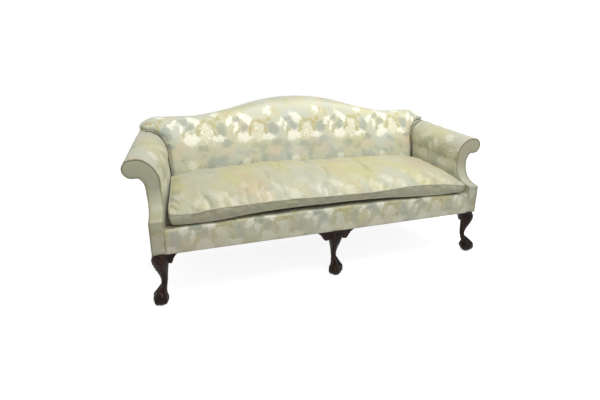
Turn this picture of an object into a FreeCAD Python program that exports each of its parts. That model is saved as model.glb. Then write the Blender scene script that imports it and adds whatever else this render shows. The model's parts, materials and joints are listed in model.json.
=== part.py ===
import FreeCAD, Part
import math
import os
import re
import Sketcher
from FreeCAD import Placement, Rotation, Vector

# Camelback sofa: a hardwood frame on ball-and-claw legs, a sprung seat with one loose
# cushion, outswept scroll arms and a humped back, each piece a solid of its own.
# Millimetres, +Z up, front towards -Y, origin on the floor in the middle of the footprint.

# Driving dimensions, one cell each
SIZES = {
    "overall_width": (2030, "across the arm rolls at the front"),
    "overall_depth": (756, "front feet to the top of the back"),
    "overall_height": (930, "floor to the top of the hump"),
    "foot_reach": (36, "front feet ahead of the front rail's cloth"),
    "cloth": (3, "cover cloth with its lining and wadding"),
    "lay_gap": (0.3, "gap between pieces that only lie together"),
    "rail_bottom": (260, "floor to the underside of the seat rails"),
    "rail_height": (102, "height of the seat rails"),
    "rail_thick": (30, "thickness of the seat rails"),
    "deck_height": (390, "floor to the top of the sprung deck"),
    "seat_depth": (461, "front rail's cloth to the inside back at the deck"),
    "inside_rake": (0.257, "backward lean of the inside back, per unit of height"),
    "back_base": (600, "front rail's cloth to the outside back at its lower edge"),
    "frame_deep": (46, "depth of the back frame's posts and rails"),
    "post_wide": (50, "width of a back post"),
    "arm_flare": (90, "arm roll beyond the side of the seat, at the front"),
    "block_width": (65, "width of the arm's front panel below the sweep"),
    "block_top": (421, "floor to where the arm front starts to sweep back"),
    "sweep_depth": (118, "how far the arm front sweeps back"),
    "sweep_centre": (10, "sweep's centre ahead of the front rail's cloth"),
    "arm_taper": (0.137, "arm moves in towards the back, per unit of depth"),
    "arm_rise": (0.155, "arm rises towards the back, per unit of depth"),
    "roll_radius": (44, "radius of the arm's roll"),
    "roll_drop": (308, "top of the hump to the roll's centre, at the rail's plane"),
    "waist_drop": (92, "roll's centre to the narrowest part of the arm"),
    "waist_in": (12, "inner side of the waist, outward of the panel's inner edge"),
    "waist_out": (14, "outer side of the waist, outward of the panel's outer edge"),
    "crown_radius": (120, "inner shoulder of the arm"),
    "throat_radius": (60, "hollow under the arm's roll"),
    "piping": (5, "width of the arm panel's piping"),
    "panel_thick": (6, "arm panel's board with its cloth"),
    "stump_thick": (32, "thickness of the arm's front post"),
    "stuffing": (20.5, "stuffing on the inner side of the arm"),
    "hump_half": (330, "half width of the hump's upper arc"),
    "hump_fall": (46, "fall of the hump's upper arc"),
    "dip_half": (640, "half width to where the hump meets the shoulder"),
    "shoulder_drop": (108, "top of the hump to the shoulder"),
    "dip_radius": (1900, "radius of the hollow beside the hump"),
    "ear_inset": (80, "arm roll's widest line to the ear's widest line"),
    "ear_drop": (42, "shoulder to the ear's widest line"),
    "ear_run": (125, "width of the ear's rounding"),
    "wool": (15, "padding over the crest rail"),
    "crest_deep": (87, "height of the crest rail at the shoulder"),
    "webbing_thick": (1.8, "thickness of a webbing strap"),
    "webbing_wide": (50, "width of a webbing strap"),
    "spring_radius": (40, "mean radius of a seat spring"),
    "lip_deep": (50, "front edge roll, front to back"),
    "spring_wire": (2.2, "radius of the spring wire"),
    "spring_turns": (4, "turns of a seat spring"),
    "spring_arcs": (4, "arcs that one turn of a spring is drawn with"),
    "spring_step_x": (270, "pitch of the springs across the seat"),
    "spring_step_y": (160, "pitch of the springs front to back"),
    "spring_first_y": (140, "front rail's cloth to the first row of springs"),
    "cushion_half": (844, "half width of the cushion at its front"),
    "cushion_taper": (0.101, "cushion narrows towards the back, per unit of depth"),
    "cushion_over": (10, "cushion ahead of the front rail's cloth"),
    "cushion_back": (455, "front rail's cloth to the cushion's rear"),
    "cushion_side": (65, "height of the cushion's boxing"),
    "cushion_crown": (108, "rise of the crown above the boxing"),
    "welt": (5, "width of the cushion's piping"),
    "corner_size": (50, "square posts in the front corners, above the legs"),
    "stretcher_wide": (40, "middle stretcher under the springs"),
    "stretcher_high": (50, "height of the middle stretcher"),
    "leg_in": (39, "corner leg's axis inward of the seat's side"),
    "knee_radius": (37, "knee of a cabriole leg"),
    "ankle_radius": (15, "ankle of a cabriole leg"),
    "ball_radius": (37, "ball that the claw grips"),
    "foot_kick": (27, "foot ahead of the leg's axis"),
    "glide_thick": (3, "nail glide under each foot"),
    "glide_radius": (12, "radius of a glide"),
    "bracket_reach": (47, "knee bracket beyond the leg's knee"),
    "bracket_drop": (54, "height of a knee bracket"),
    "bracket_thick": (28, "thickness of a knee bracket"),
    "rear_foot": (34, "width of a rear foot"),
    "rear_splay": (75, "rear foot behind the rail it hangs from"),
    "dowel_radius": (5, "beech dowels of the frame"),
    "dowel_long": (60, "length of a dowel"),
}

doc = FreeCAD.newDocument("CamelbackSofa")
sheet = doc.addObject("Spreadsheet::Sheet", "Sizes")
for line, (size_name, (amount, meaning)) in enumerate(SIZES.items(), start=1):
    sheet.set(f"A{line}", meaning)
    sheet.set(f"B{line}", str(amount))
    sheet.setAlias(f"B{line}", size_name)
doc.recompute()


def sized(text):
    """Point every size name in an expression at its cell."""
    return re.sub(r"[a-z_]+", lambda word: f"Sizes.{word[0]}" if word[0] in SIZES else word[0], str(text))


def value(text):
    """Number that an expression of size names comes to."""
    return float(sheet.evalExpression(sized(text)))


# Places that several pieces share, worked out from the cells
FRONT = "(foot_reach - overall_depth / 2)"
SKIRT = "(rail_bottom - cloth)"
RAIL_TOP = "(rail_bottom + rail_height)"
SEAT_TOP = "(deck_height + lay_gap)"
SEAT_OUT = "(overall_width / 2 - arm_flare)"
SEAT_IN = "(overall_width / 2 - arm_flare - block_width)"
ROLL_X = "(overall_width / 2 + arm_taper * sweep_depth - roll_radius)"
ROLL_Z = "(overall_height - roll_drop)"
WAIST_Z = "(overall_height - roll_drop - waist_drop)"
SWEEP_TOP = "(overall_height - roll_drop - 72)"
SHOULDER = "(overall_height - shoulder_drop)"
EAR_X = "(overall_width / 2 - ear_inset)"
LEG_BACK = "(foot_kick + ball_radius - foot_reach)"
BELOW = "(0 - overall_depth * arm_rise)"
RAIL_FACE = "(cloth + 1)"
RAIL_MIDDLE = "(cloth + 1 + rail_thick / 2)"
RAIL_BACK = "(cloth + 1 + rail_thick)"
CORNER_FACE = "(cloth + lay_gap + 5)"
CORNER_BACK = "(cloth + lay_gap + 5 + corner_size)"
ABOVE = "(overall_height + 60)"
TOP_WEB = "(rail_bottom - webbing_thick)"
LOW_WEB = "(rail_bottom - 2 * webbing_thick)"
BACK_RUN = "((overall_depth - foot_reach - back_base) / (overall_height - rail_bottom + cloth))"


def at(depth):
    """Y of a place given by its distance behind the front rail's cloth."""
    return f"({FRONT} + {depth})"


def inside_back(level, behind="0"):
    """Y of the inside back's face at a height, or of a plane behind it."""
    return f"({FRONT} + seat_depth + ({level} - deck_height) * inside_rake + {behind})"


def outside_back(level, ahead="0"):
    """Y of the outside back's face at a height, or of a plane ahead of it."""
    return f"({FRONT} + back_base + ({level} - {SKIRT}) * {BACK_RUN} - ({ahead}))"


BEHIND_FRAME = "(cloth + lay_gap)"
BEFORE_FRAME = "(cloth + lay_gap + frame_deep)"
FRAME_MIDDLE = "(cloth + lay_gap + frame_deep / 2)"


# Builders: each adds one object whose sizes are bound to the cells
def bind(obj, **bindings):
    for prop, text in bindings.items():
        obj.setExpression(prop.replace("__", "."), sized(text))
    return obj


def arc_between(start, end, radius):
    """Arc from start to end: a positive radius turns left, a negative one right."""
    middle = ((start[0] + end[0]) / 2, (start[1] + end[1]) / 2)
    run = (end[0] - start[0], end[1] - start[1])
    chord = math.hypot(*run)
    rise = math.sqrt(max(radius * radius - chord * chord / 4, 0.0))
    side = math.copysign(rise / chord, radius)
    centre = Vector(middle[0] - run[1] * side, middle[1] + run[0] * side, 0)
    angles = [math.atan2(p[1] - centre.y, p[0] - centre.x) for p in (start, end)]
    if radius < 0:
        angles.reverse()
    return Part.ArcOfCircle(Part.Circle(centre, Vector(0, 0, 1), abs(radius)), *angles)


PLANES = {"XZ": Rotation(Vector(1, 0, 0), 90), "YZ": Rotation(Vector(1, 1, 1), 120), "XY": Rotation()}


def outline(name, plane, points):
    """Closed sketch through points (across, up) or (across, up, radius of the arc to the next)."""
    sketch = doc.addObject("Sketcher::SketchObject", name)
    sketch.Placement = Placement(Vector(), PLANES[plane])
    places = [(value(p[0]), value(p[1])) for p in points]
    ends = []
    for i, point in enumerate(points):
        start, end = places[i], places[(i + 1) % len(points)]
        if len(point) == 2:
            sketch.addGeometry(Part.LineSegment(Vector(*start, 0), Vector(*end, 0)), False)
            ends.append((1, 2))
        else:
            sketch.addGeometry(arc_between(start, end, value(point[2])), False)
            ends.append((1, 2) if value(point[2]) > 0 else (2, 1))
    for i, point in enumerate(points):
        after = (i + 1) % len(points)
        sketch.addConstraint(Sketcher.Constraint("Coincident", i, ends[i][1], after, ends[after][0]))
        for kind, number, text in (("DistanceX", places[i][0], point[0]),
                                   ("DistanceY", places[i][1], point[1])):
            index = sketch.addConstraint(Sketcher.Constraint(kind, -1, 1, i, ends[i][0], number))
            sketch.setExpression(f"Constraints[{index}]", sized(text))
        if len(point) == 3:
            index = sketch.addConstraint(Sketcher.Constraint("Radius", i, abs(value(point[2]))))
            sketch.setExpression(f"Constraints[{index}]", sized(f"abs({point[2]})"))
    doc.recompute([sketch])
    return sketch


def inset(name, sketch, amount):
    """Outline drawn inside another, by an amount."""
    ring = doc.addObject("Part::Offset2D", name)
    ring.Source = sketch
    ring.Mode = "Pipe"
    ring.Join = "Arc"
    return bind(ring, Value=f"0 - ({amount})")


def extrude(name, profile, dx="0", dy="0", dz="0"):
    solid = doc.addObject("Part::Extrusion", name)
    solid.Base = profile
    solid.DirMode = "Custom"
    solid.Solid = True
    return bind(solid, Dir__x=dx, Dir__y=dy, Dir__z=dz)


def across(name, points):
    """Slab drawn from the side, (depth, height), running the whole width."""
    sketch = outline(name + "_outline", "YZ", points)
    bind(sketch, Placement__Base__x="0 - overall_width")
    return extrude(name, sketch, dx="2 * overall_width")


def half_across(name, points, start, wide):
    """Slab drawn from the side, from one x for a width."""
    sketch = outline(name + "_outline", "YZ", points)
    bind(sketch, Placement__Base__x=start)
    return extrude(name, sketch, dx=wide)


def from_front(profile):
    """Start a drawn outline at the front rail's cloth; one offset from it follows by itself."""
    if profile.TypeId == "Sketcher::SketchObject":
        bind(profile, Placement__Base__y=FRONT)
    return profile


def along(name, profile):
    """Outline drawn from the front, running straight back through the whole depth."""
    return extrude(name, from_front(profile), dy="overall_depth")


def with_arm(name, profile, rise="arm_rise"):
    """Outline drawn from the front, running back with the arm: inward, and up by rise."""
    return extrude(name, from_front(profile), dx="0 - overall_depth * arm_taper", dy="overall_depth",
                   dz=f"overall_depth * {rise}")


def box(name, x, y, z, wide, deep, high):
    solid = doc.addObject("Part::Box", name)
    return bind(solid, Placement__Base__x=x, Placement__Base__y=y, Placement__Base__z=z,
                Length=wide, Width=deep, Height=high)


def common(name, *shapes):
    both = doc.addObject("Part::MultiCommon", name)
    both.Shapes = list(shapes)
    return both


def fuse(name, *shapes):
    whole = doc.addObject("Part::MultiFuse", name)
    whole.Shapes = list(shapes)
    return whole


def group(name, *shapes):
    whole = doc.addObject("Part::Compound", name)
    whole.Links = list(shapes)
    return whole


def cut(name, base, *tools):
    """Base less each tool in turn."""
    for count, tool in enumerate(tools, start=1):
        rest = doc.addObject("Part::Cut", name if count == len(tools) else f"{name}_less_{count}")
        rest.Base = base
        rest.Tool = tool
        base = rest
    return base


def mirror(name, source):
    other = doc.addObject("Part::Mirroring", name)
    other.Source = source
    other.Normal = Vector(1, 0, 0)
    return other


def cylinder(name, x, y, z, radius, high, direction=Vector(0, 0, 1)):
    rod = doc.addObject("Part::Cylinder", name)
    rod.Placement = Placement(Vector(), Rotation(Vector(0, 0, 1), direction))
    return bind(rod, Placement__Base__x=x, Placement__Base__y=y, Placement__Base__z=z,
                Radius=radius, Height=high)


nodes = {}


def keep(name, obj):
    """Keep an object as a sub-part under its own label."""
    obj.Label = name
    nodes[name] = obj
    return obj


# Arm envelope: the scroll seen from the front, extended below the rail because the arm climbs
scroll = outline("arm_scroll", "XZ", [
    (SEAT_OUT, BELOW),
    (SEAT_OUT, "block_top"),
    (f"{SEAT_OUT} + waist_out * 0.8", f"{WAIST_Z} - 32"),
    (f"{SEAT_OUT} + waist_out", WAIST_Z, "0 - throat_radius"),
    (f"{ROLL_X} - roll_radius / 2", f"{ROLL_Z} - roll_radius * 0.98"),
    (ROLL_X, f"{ROLL_Z} - roll_radius", "roll_radius"),
    (f"{ROLL_X} + roll_radius", ROLL_Z, "roll_radius"),
    (ROLL_X, f"{ROLL_Z} + roll_radius"),
    (f"{ROLL_X} - roll_radius * 0.62", f"{ROLL_Z} + roll_radius + 1", "crown_radius"),
    (f"{SEAT_IN} + waist_in", WAIST_Z),
    (SEAT_IN, "block_top"),
    (f"{SEAT_IN} + 3", BELOW),
])
scroll_lining = inset("arm_scroll_lining", scroll, "cloth")
scroll_panel = inset("arm_scroll_panel", scroll, "piping")
scroll_stump = inset("arm_scroll_stump", scroll, "3.4 * cloth")
arm_whole = with_arm("arm_whole", scroll)
arm_lining = with_arm("arm_lining", scroll_lining)
arm_panel = with_arm("arm_panel", scroll_panel)
arm_wood = with_arm("arm_wood", scroll_stump)


def arm_side(name, behind, floor, ahead="cloth + lay_gap"):
    """Side view of the arm, its front edge moved back by behind and its rear edge forward."""
    top = SWEEP_TOP
    radius = f"(sweep_depth + sweep_centre + {behind})"
    foot = f"({top} - sqrt({radius} * {radius} - (sweep_centre + {behind}) * (sweep_centre + {behind})))"
    return across(name, [
        (at(behind), floor),
        (at(behind), foot, radius),
        (at(f"sweep_depth + {behind}"), top),
        (at(f"sweep_depth + {behind}"), ABOVE),
        (outside_back(ABOVE, ahead), ABOVE),
        (outside_back(floor, ahead), floor),
    ])


side_whole = arm_side("side_whole", "0", SKIRT)
side_behind_panel = arm_side("side_behind_panel", "panel_thick", f"{SKIRT} - 40", "0 - 50")
side_soft = arm_side("side_soft", "panel_thick", SKIRT)
side_stump = arm_side("side_stump", "panel_thick + lay_gap", RAIL_TOP)
side_behind_stump = arm_side("side_behind_stump", "panel_thick + lay_gap + stump_thick", f"{SKIRT} - 40",
                             "0 - 50")
panel_slab = cut("panel_slab", side_whole, side_behind_panel)
arm_envelope = common("arm_envelope", arm_whole, side_whole)
arm_envelope_left = mirror("arm_envelope_left", arm_envelope)
past_arm = with_arm("past_arm", outline("past_arm_outline", "XZ", [
    (f"{SEAT_IN} + block_width / 2", f"{BELOW} - 10"),
    (f"{SEAT_OUT} + 200", f"{BELOW} - 10"),
    (f"{SEAT_OUT} + 200", WAIST_Z),
    (f"{SEAT_IN} + block_width / 2", WAIST_Z),
]))
past_arm_left = mirror("past_arm_left", past_arm)


def between_arms(name, solid):
    """Trim a piece of the back to the arms' covers."""
    return cut(name, solid, arm_envelope, arm_envelope_left)


def on_seat(name, solid):
    """Trim a piece of the seat to the arms' covers, with nothing left outside them."""
    return cut(name, solid, arm_envelope, arm_envelope_left, past_arm, past_arm_left)


# Arm panel and the piping sewn round it
keep("right_arm_facing", common("right_arm_facing", arm_panel, panel_slab))
piping_ring = cut("piping_ring", arm_whole, arm_panel)
above_deck = box("above_deck", "0 - overall_width", "0 - overall_depth", "deck_height + 2",
                 "2 * overall_width", "2 * overall_depth", "overall_height")
keep("right_arm_piping", common("right_arm_piping", piping_ring, panel_slab, above_deck))

# Arm covers: one over the inside and the roll, one down the outside
cover_ring = cut("arm_cover_ring", arm_whole, arm_lining)
arm_covers = common("arm_covers", cover_ring, side_soft)
outer_region = with_arm("arm_outer_region", outline("arm_outer_region_outline", "XZ", [
    (f"{SEAT_IN} + block_width / 2", f"{BELOW} - 10"),
    (f"{SEAT_OUT} + 200", f"{BELOW} - 10"),
    (f"{SEAT_OUT} + 200", f"{ROLL_Z} - roll_radius - 8"),
    (f"{SEAT_IN} + block_width / 2", f"{ROLL_Z} - roll_radius - 8"),
]))
keep("right_outside_arm_cover", common("right_outside_arm_cover", arm_covers, outer_region))
under_cover = box("under_arm_cover", "0 - overall_width", "0 - overall_depth", "0",
                  "2 * overall_width", "2 * overall_depth", f"{RAIL_TOP} + 2")

# Arm frame: a swept front post, a rail inside the roll and a tacking rail above the seat rail
stump_slab = cut("stump_slab", side_stump, side_behind_stump)
stump_blank = common("stump_blank", arm_wood, stump_slab)

# Back frame: raked posts that run down into splayed rear legs
side_line = f"({SEAT_OUT} - 2.4 * cloth)"
beyond_side = with_arm("beyond_side", outline("beyond_side_outline", "XZ", [
    (side_line, f"{BELOW} - 200"),
    (f"{SEAT_OUT} + 400", f"{BELOW} - 200"),
    (f"{SEAT_OUT} + 400", ABOVE),
    (side_line, ABOVE),
]))


def frame_slab(name, low, high):
    """Side view of the back frame's wood between two heights."""
    return [(outside_back(low, BEFORE_FRAME), low), (outside_back(low, BEHIND_FRAME), low),
            (outside_back(high, BEHIND_FRAME), high), (outside_back(high, BEFORE_FRAME), high)]


def rear_leg(name, middle):
    """Square leg that tapers and splays back to its glide."""
    leg = doc.addObject("Part::Wedge", name)
    leg.Placement = Placement(Vector(), Rotation(Vector(1, 0, 0), -90))
    start = outside_back("rail_bottom", BEFORE_FRAME)
    return bind(leg, Placement__Base__x=middle, Placement__Base__y=start, Placement__Base__z="rail_bottom",
                Xmin="0 - post_wide / 2", Xmax="post_wide / 2",
                X2min="0 - rear_foot / 2", X2max="rear_foot / 2",
                Ymin="0", Ymax="rail_bottom - glide_thick",
                Zmin="0", Zmax="frame_deep", Z2min="rear_splay + frame_deep - rear_foot",
                Z2max="rear_splay + frame_deep")


CREST_LOW = f"({SHOULDER} - crest_deep)"
POST_X = f"({SEAT_OUT} - arm_taper * back_base - post_wide)"
side_post_slab = half_across("side_post_slab", frame_slab("side", "rail_bottom", CREST_LOW), POST_X,
                             "post_wide * 1.4")
side_post_upper = cut("side_post_upper", side_post_slab, beyond_side)
side_post_whole = fuse("side_post_whole", side_post_upper,
                       rear_leg("side_rear_leg", f"{POST_X} + post_wide * 0.4"))
CENTRE_TOP = f"({CREST_LOW} + 55)"
centre_post_whole = fuse("centre_post_whole",
                         half_across("centre_post_slab", frame_slab("centre", "rail_bottom", CENTRE_TOP),
                                     "0 - post_wide / 2", "post_wide"),
                         rear_leg("centre_rear_leg", "0"))

# Back outline: camel hump, level shoulders and an ear over each arm
HUMP_R = "((hump_half * hump_half + hump_fall * hump_fall) / (2 * hump_fall))"
TUCK = f"({SEAT_IN} - arm_taper * (back_base - 40) + 32)"
camel = outline("back_outline", "XZ", [
    (TUCK, "deck_height - 60"),
    (TUCK, f"{ROLL_Z} - 32"),
    (f"{TUCK} + 20", f"{ROLL_Z} + 18"),
    (f"{TUCK} + 55", f"{ROLL_Z} + 78"),
    (f"{TUCK} + 85", f"{ROLL_Z} + 113"),
    (f"{EAR_X} - 3", f"{SHOULDER} - ear_drop - 20"),
    (EAR_X, f"{SHOULDER} - ear_drop", "60"),
    (f"{EAR_X} - 28", f"{SHOULDER} - 19", "150"),
    (f"{EAR_X} - ear_run", SHOULDER),
    ("dip_half", SHOULDER, "0 - dip_radius"),
    ("hump_half", "overall_height - hump_fall", HUMP_R),
    ("0 - hump_half", "overall_height - hump_fall", "0 - dip_radius"),
    ("0 - dip_half", SHOULDER),
    (f"0 - ({EAR_X} - ear_run)", SHOULDER, "150"),
    (f"0 - ({EAR_X} - 28)", f"{SHOULDER} - 19", "60"),
    (f"0 - {EAR_X}", f"{SHOULDER} - ear_drop"),
    (f"0 - ({EAR_X} - 3)", f"{SHOULDER} - ear_drop - 20"),
    (f"0 - ({TUCK} + 85)", f"{ROLL_Z} + 113"),
    (f"0 - ({TUCK} + 55)", f"{ROLL_Z} + 78"),
    (f"0 - ({TUCK} + 20)", f"{ROLL_Z} + 18"),
    (f"0 - {TUCK}", f"{ROLL_Z} - 32"),
    (f"0 - {TUCK}", "deck_height - 60"),
])
back_whole = along("back_whole", camel)
back_lining = along("back_lining", inset("back_lining_outline", camel, "cloth"))
back_wood = along("back_wood", inset("back_wood_outline", camel, "wool + cloth"))


def back_layer(name, front_plane, rear_plane, floor=SEAT_TOP):
    """Layer of the back between two raked planes, each a function of height."""
    return across(name, [(front_plane(floor), floor), (rear_plane(floor), floor),
                         (rear_plane(ABOVE), ABOVE), (front_plane(ABOVE), ABOVE)])


def plane_in(behind):
    return lambda level: inside_back(level, behind)


def plane_out(ahead):
    return lambda level: outside_back(level, ahead)


WEB_FRONT = f"({BEFORE_FRAME} + webbing_thick + 0.4)"
HESSIAN_FRONT = f"({BEFORE_FRAME} + webbing_thick + 1.9)"
cover_layer = back_layer("inside_cover_layer", plane_in("0"), plane_out("cloth + lay_gap"))
stuffed_layer = back_layer("stuffed_layer", plane_in("cloth"), plane_out("0 - 60"), f"{SEAT_TOP} - 20")
stuffed_core = common("stuffed_core", back_lining, stuffed_layer)
cover_blank = cut("inside_back_cover_blank", common("inside_back_envelope", back_whole, cover_layer),
                  stuffed_core)
keep("inside_back_cover", between_arms("inside_back_cover", cover_blank))

# Crest rail: a shaped board that follows the hump
crest_region = along("crest_region", outline("crest_region_outline", "XZ", [
    ("0 - overall_width / 2", CREST_LOW),
    ("0 - dip_half", CREST_LOW),
    ("0 - post_wide * 1.5", CENTRE_TOP),
    ("post_wide * 1.5", CENTRE_TOP),
    ("dip_half", CREST_LOW),
    ("overall_width / 2", CREST_LOW),
    ("overall_width / 2", ABOVE),
    ("0 - overall_width / 2", ABOVE),
]))
crest_layer = back_layer("crest_layer", plane_out(BEFORE_FRAME), plane_out(BEHIND_FRAME))
crest_blank = between_arms("crest_blank", common("crest_board", back_wood, crest_layer, crest_region))

# Inside back stuffing, over the hessian and over the crest rail
hollow_layer = back_layer("hollow_layer", plane_out(HESSIAN_FRONT), plane_out("0 - 60"), f"{SEAT_TOP} - 20")
back_hollow = common("back_hollow", back_wood, hollow_layer)
padding_layer = back_layer("padding_layer", plane_in("cloth"), plane_out("cloth + lay_gap"))
padding_blank = cut("back_padding_blank", common("back_padding_envelope", back_lining, padding_layer),
                    back_hollow)
keep("inside_back_padding", between_arms("inside_back_padding", padding_blank))
hessian_layer = back_layer("back_hessian_layer", plane_out(HESSIAN_FRONT), plane_out(WEB_FRONT))
keep("back_hessian", between_arms("back_hessian", common("back_hessian_blank", back_wood, hessian_layer)))


def web_layer(name, near, far):
    return back_layer(name, plane_out(f"({BEFORE_FRAME} + {near})"), plane_out(f"({BEFORE_FRAME} + {far})"),
                      f"{RAIL_TOP} + 60")


# Back webbing: upright straps on the frame, level straps woven across them
upright_layer = web_layer("upright_web_layer", "webbing_thick / 2", "0")
level_layer = web_layer("level_web_layer", "webbing_thick + 0.2", "webbing_thick / 2")
straps = []
for order, place in enumerate((-0.66, -0.5, -0.34, -0.18, 0.18, 0.34, 0.5, 0.66)):
    strap = box(f"upright_strap_{order}", f"({SEAT_IN}) * {place} - webbing_wide / 2", FRONT,
                "deck_height + 15", "webbing_wide", "2 * overall_depth",
                f"{CREST_LOW} + 50 - deck_height - 15")
    straps.append(common(f"upright_web_{order}", strap, upright_layer))
for order, place in enumerate((0.3, 0.66)):
    strap = box(f"level_strap_{order}", f"0 - {POST_X} - post_wide * 0.3", FRONT,
                f"deck_height + ({SHOULDER} - deck_height) * {place}", f"2 * {POST_X} + post_wide * 0.6",
                "2 * overall_depth", "webbing_wide")
    straps.append(common(f"level_web_{order}", strap, level_layer))
keep("back_webbing", group("back_webbing", *straps))

# Dowels: each sits in a hole with a little glue room
dowels = []
holes = []


def dowel(x, y, z, direction, mirrored=True):
    """Dowel centred on a joint, with its hole, on both sides unless told otherwise."""
    name = f"dowel_{len(dowels)}"
    half = "dowel_long / 2"
    offsets = [f"{half} * {part:g}" for part in direction]
    start = [f"({place}) - ({shift})" for place, shift in zip((x, y, z), offsets)]
    more = [f"({place}) - ({shift}) * 1.03" for place, shift in zip((x, y, z), offsets)]
    pin = cylinder(name, *start, "dowel_radius", "dowel_long", direction)
    hole = cylinder(name + "_hole", *more, "dowel_radius + 0.2", "dowel_long * 1.03", direction)
    dowels.append(pin)
    holes.append(hole)
    if mirrored:
        dowels.append(mirror(name + "_left", pin))
        holes.append(mirror(name + "_hole_left", hole))


POST_IN = f"({SEAT_IN} + 2)"
for level in (0.25, 0.55):
    dowel(POST_IN, at(RAIL_MIDDLE), f"rail_bottom + rail_height * {level}", Vector(1, 0, 0))
    dowel(POST_X, outside_back(f"(rail_bottom + rail_height * {level})", FRAME_MIDDLE),
          f"rail_bottom + rail_height * {level}", Vector(1, 0, 0))
for depth in (0.35, 0.8):
    dowel(f"{POST_IN} + 22", at(f"panel_thick + lay_gap + stump_thick * {depth}"), RAIL_TOP, Vector(0, 0, 1))
dowel(f"{POST_X} + 20", outside_back(CREST_LOW, FRAME_MIDDLE), CREST_LOW, Vector(0, 0, 1))
dowel("0", outside_back(CENTRE_TOP, FRAME_MIDDLE), CENTRE_TOP, Vector(0, 0, 1), False)
keep("frame_dowels", group("frame_dowels", *dowels))
dowel_holes = fuse("dowel_holes", *holes)

# Seat rails, with the corner posts that the front legs carry up between them
front_rail = box("front_rail_blank", f"0 - {POST_IN}", at(RAIL_FACE), "rail_bottom", f"2 * {POST_IN}",
                 "rail_thick", "rail_height")
rear_slab = frame_slab("rear_rail", "rail_bottom", RAIL_TOP)
rear_rail = cut("rear_rail_blank", half_across("rear_rail_slab", rear_slab, f"0 - {POST_X}", f"2 * {POST_X}"),
                centre_post_whole)
lower_slab = frame_slab("lower_back", "deck_height + 20", "deck_height + 60")
lower_rail = cut("lower_rail_blank",
                 half_across("lower_rail_slab", lower_slab, f"0 - {POST_X}", f"2 * {POST_X}"),
                 centre_post_whole)
keep("lower_back_rail", lower_rail)
SIDE_LOW = f"({SEAT_OUT} - 2.4 * cloth - rail_thick)"
side_profile = outline("side_rail_outline", "XZ", [
    (SIDE_LOW, "rail_bottom"), (side_line, "rail_bottom"), (side_line, RAIL_TOP), (SIDE_LOW, RAIL_TOP)])
side_run = with_arm("side_rail_run", side_profile, "0")
frame_front = back_layer("frame_front", plane_out(BEFORE_FRAME), plane_out("0 - 200"), "0")
corner_depth = box("corner_depth", "0 - overall_width", f"{FRONT} - 200", "0", "2 * overall_width",
                   f"200 + {CORNER_BACK}", "overall_height")
keep("right_side_seat_rail", cut("right_side_seat_rail", side_run, corner_depth, frame_front))
keep("centre_seat_stretcher", cut("centre_seat_stretcher",
     box("stretcher_blank", "0 - stretcher_wide / 2", at(RAIL_BACK), "rail_bottom + 6",
         "stretcher_wide", "back_base", "stretcher_high"),
     frame_front))
arm_rail_run = with_arm("arm_rail_run", outline("arm_rail_outline", "XZ", [
    (f"{ROLL_X} - 72", f"{ROLL_Z} - 18"), (f"{ROLL_X} + 16", f"{ROLL_Z} - 18"),
    (f"{ROLL_X} + 20", f"{ROLL_Z} + 12"), (f"{ROLL_X} - 66", f"{ROLL_Z} + 12")]))
rail_zone = common("arm_rail_zone", arm_rail_run,
                   arm_side("arm_rail_side", "panel_thick + lay_gap + stump_thick", RAIL_TOP, "2 * cloth"))
keep("right_arm_rail", cut("right_arm_rail", rail_zone, side_post_whole, crest_blank))
tack_run = with_arm("tack_run", outline("tack_outline", "XZ", [
    (f"{SEAT_IN} + cloth + stuffing + 1.5", "deck_height + 15"),
    (f"{SEAT_IN} + cloth + stuffing + 27", "deck_height + 15"),
    (f"{SEAT_IN} + cloth + stuffing + 27", "deck_height + 55"),
    (f"{SEAT_IN} + cloth + stuffing + 1.5", "deck_height + 55")]), "0")
keep("right_arm_tack_rail", cut("right_arm_tack_rail",
     common("tack_zone", tack_run, side_behind_stump), frame_front))
keep("right_arm_stump", cut("right_arm_stump", stump_blank, dowel_holes))
keep("right_back_post", cut("right_back_post", side_post_whole, dowel_holes))
keep("centre_back_post", cut("centre_back_post", centre_post_whole, dowel_holes))
side_post_left = mirror("side_post_left", side_post_whole)
keep("crest_rail", cut("crest_rail", crest_blank, side_post_whole, side_post_left, centre_post_whole,
                       dowel_holes))
keep("rear_seat_rail", cut("rear_seat_rail", rear_rail, dowel_holes))

behind_hessian = back_layer("behind_hessian", plane_out(f"{HESSIAN_FRONT} + 1"), plane_out("0 - 200"), "0")

# Inside arm cover: ends where the arm meets the back's hessian, and is slit round the post
inner_end = common("inner_end", with_arm("inner_end_run", outline("inner_end_outline", "XZ", [
    ("0", f"{BELOW} - 10"), (f"{SEAT_IN} + block_width * 0.7", f"{BELOW} - 10"),
    (f"{SEAT_IN} + block_width * 0.7", f"{ROLL_Z} + 30"), ("0", f"{ROLL_Z} + 30")])),
    behind_hessian)
keep("right_inside_arm_cover", cut("right_inside_arm_cover", arm_covers, outer_region, under_cover, inner_end,
                                   side_post_whole, crest_blank, dowel_holes))

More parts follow.
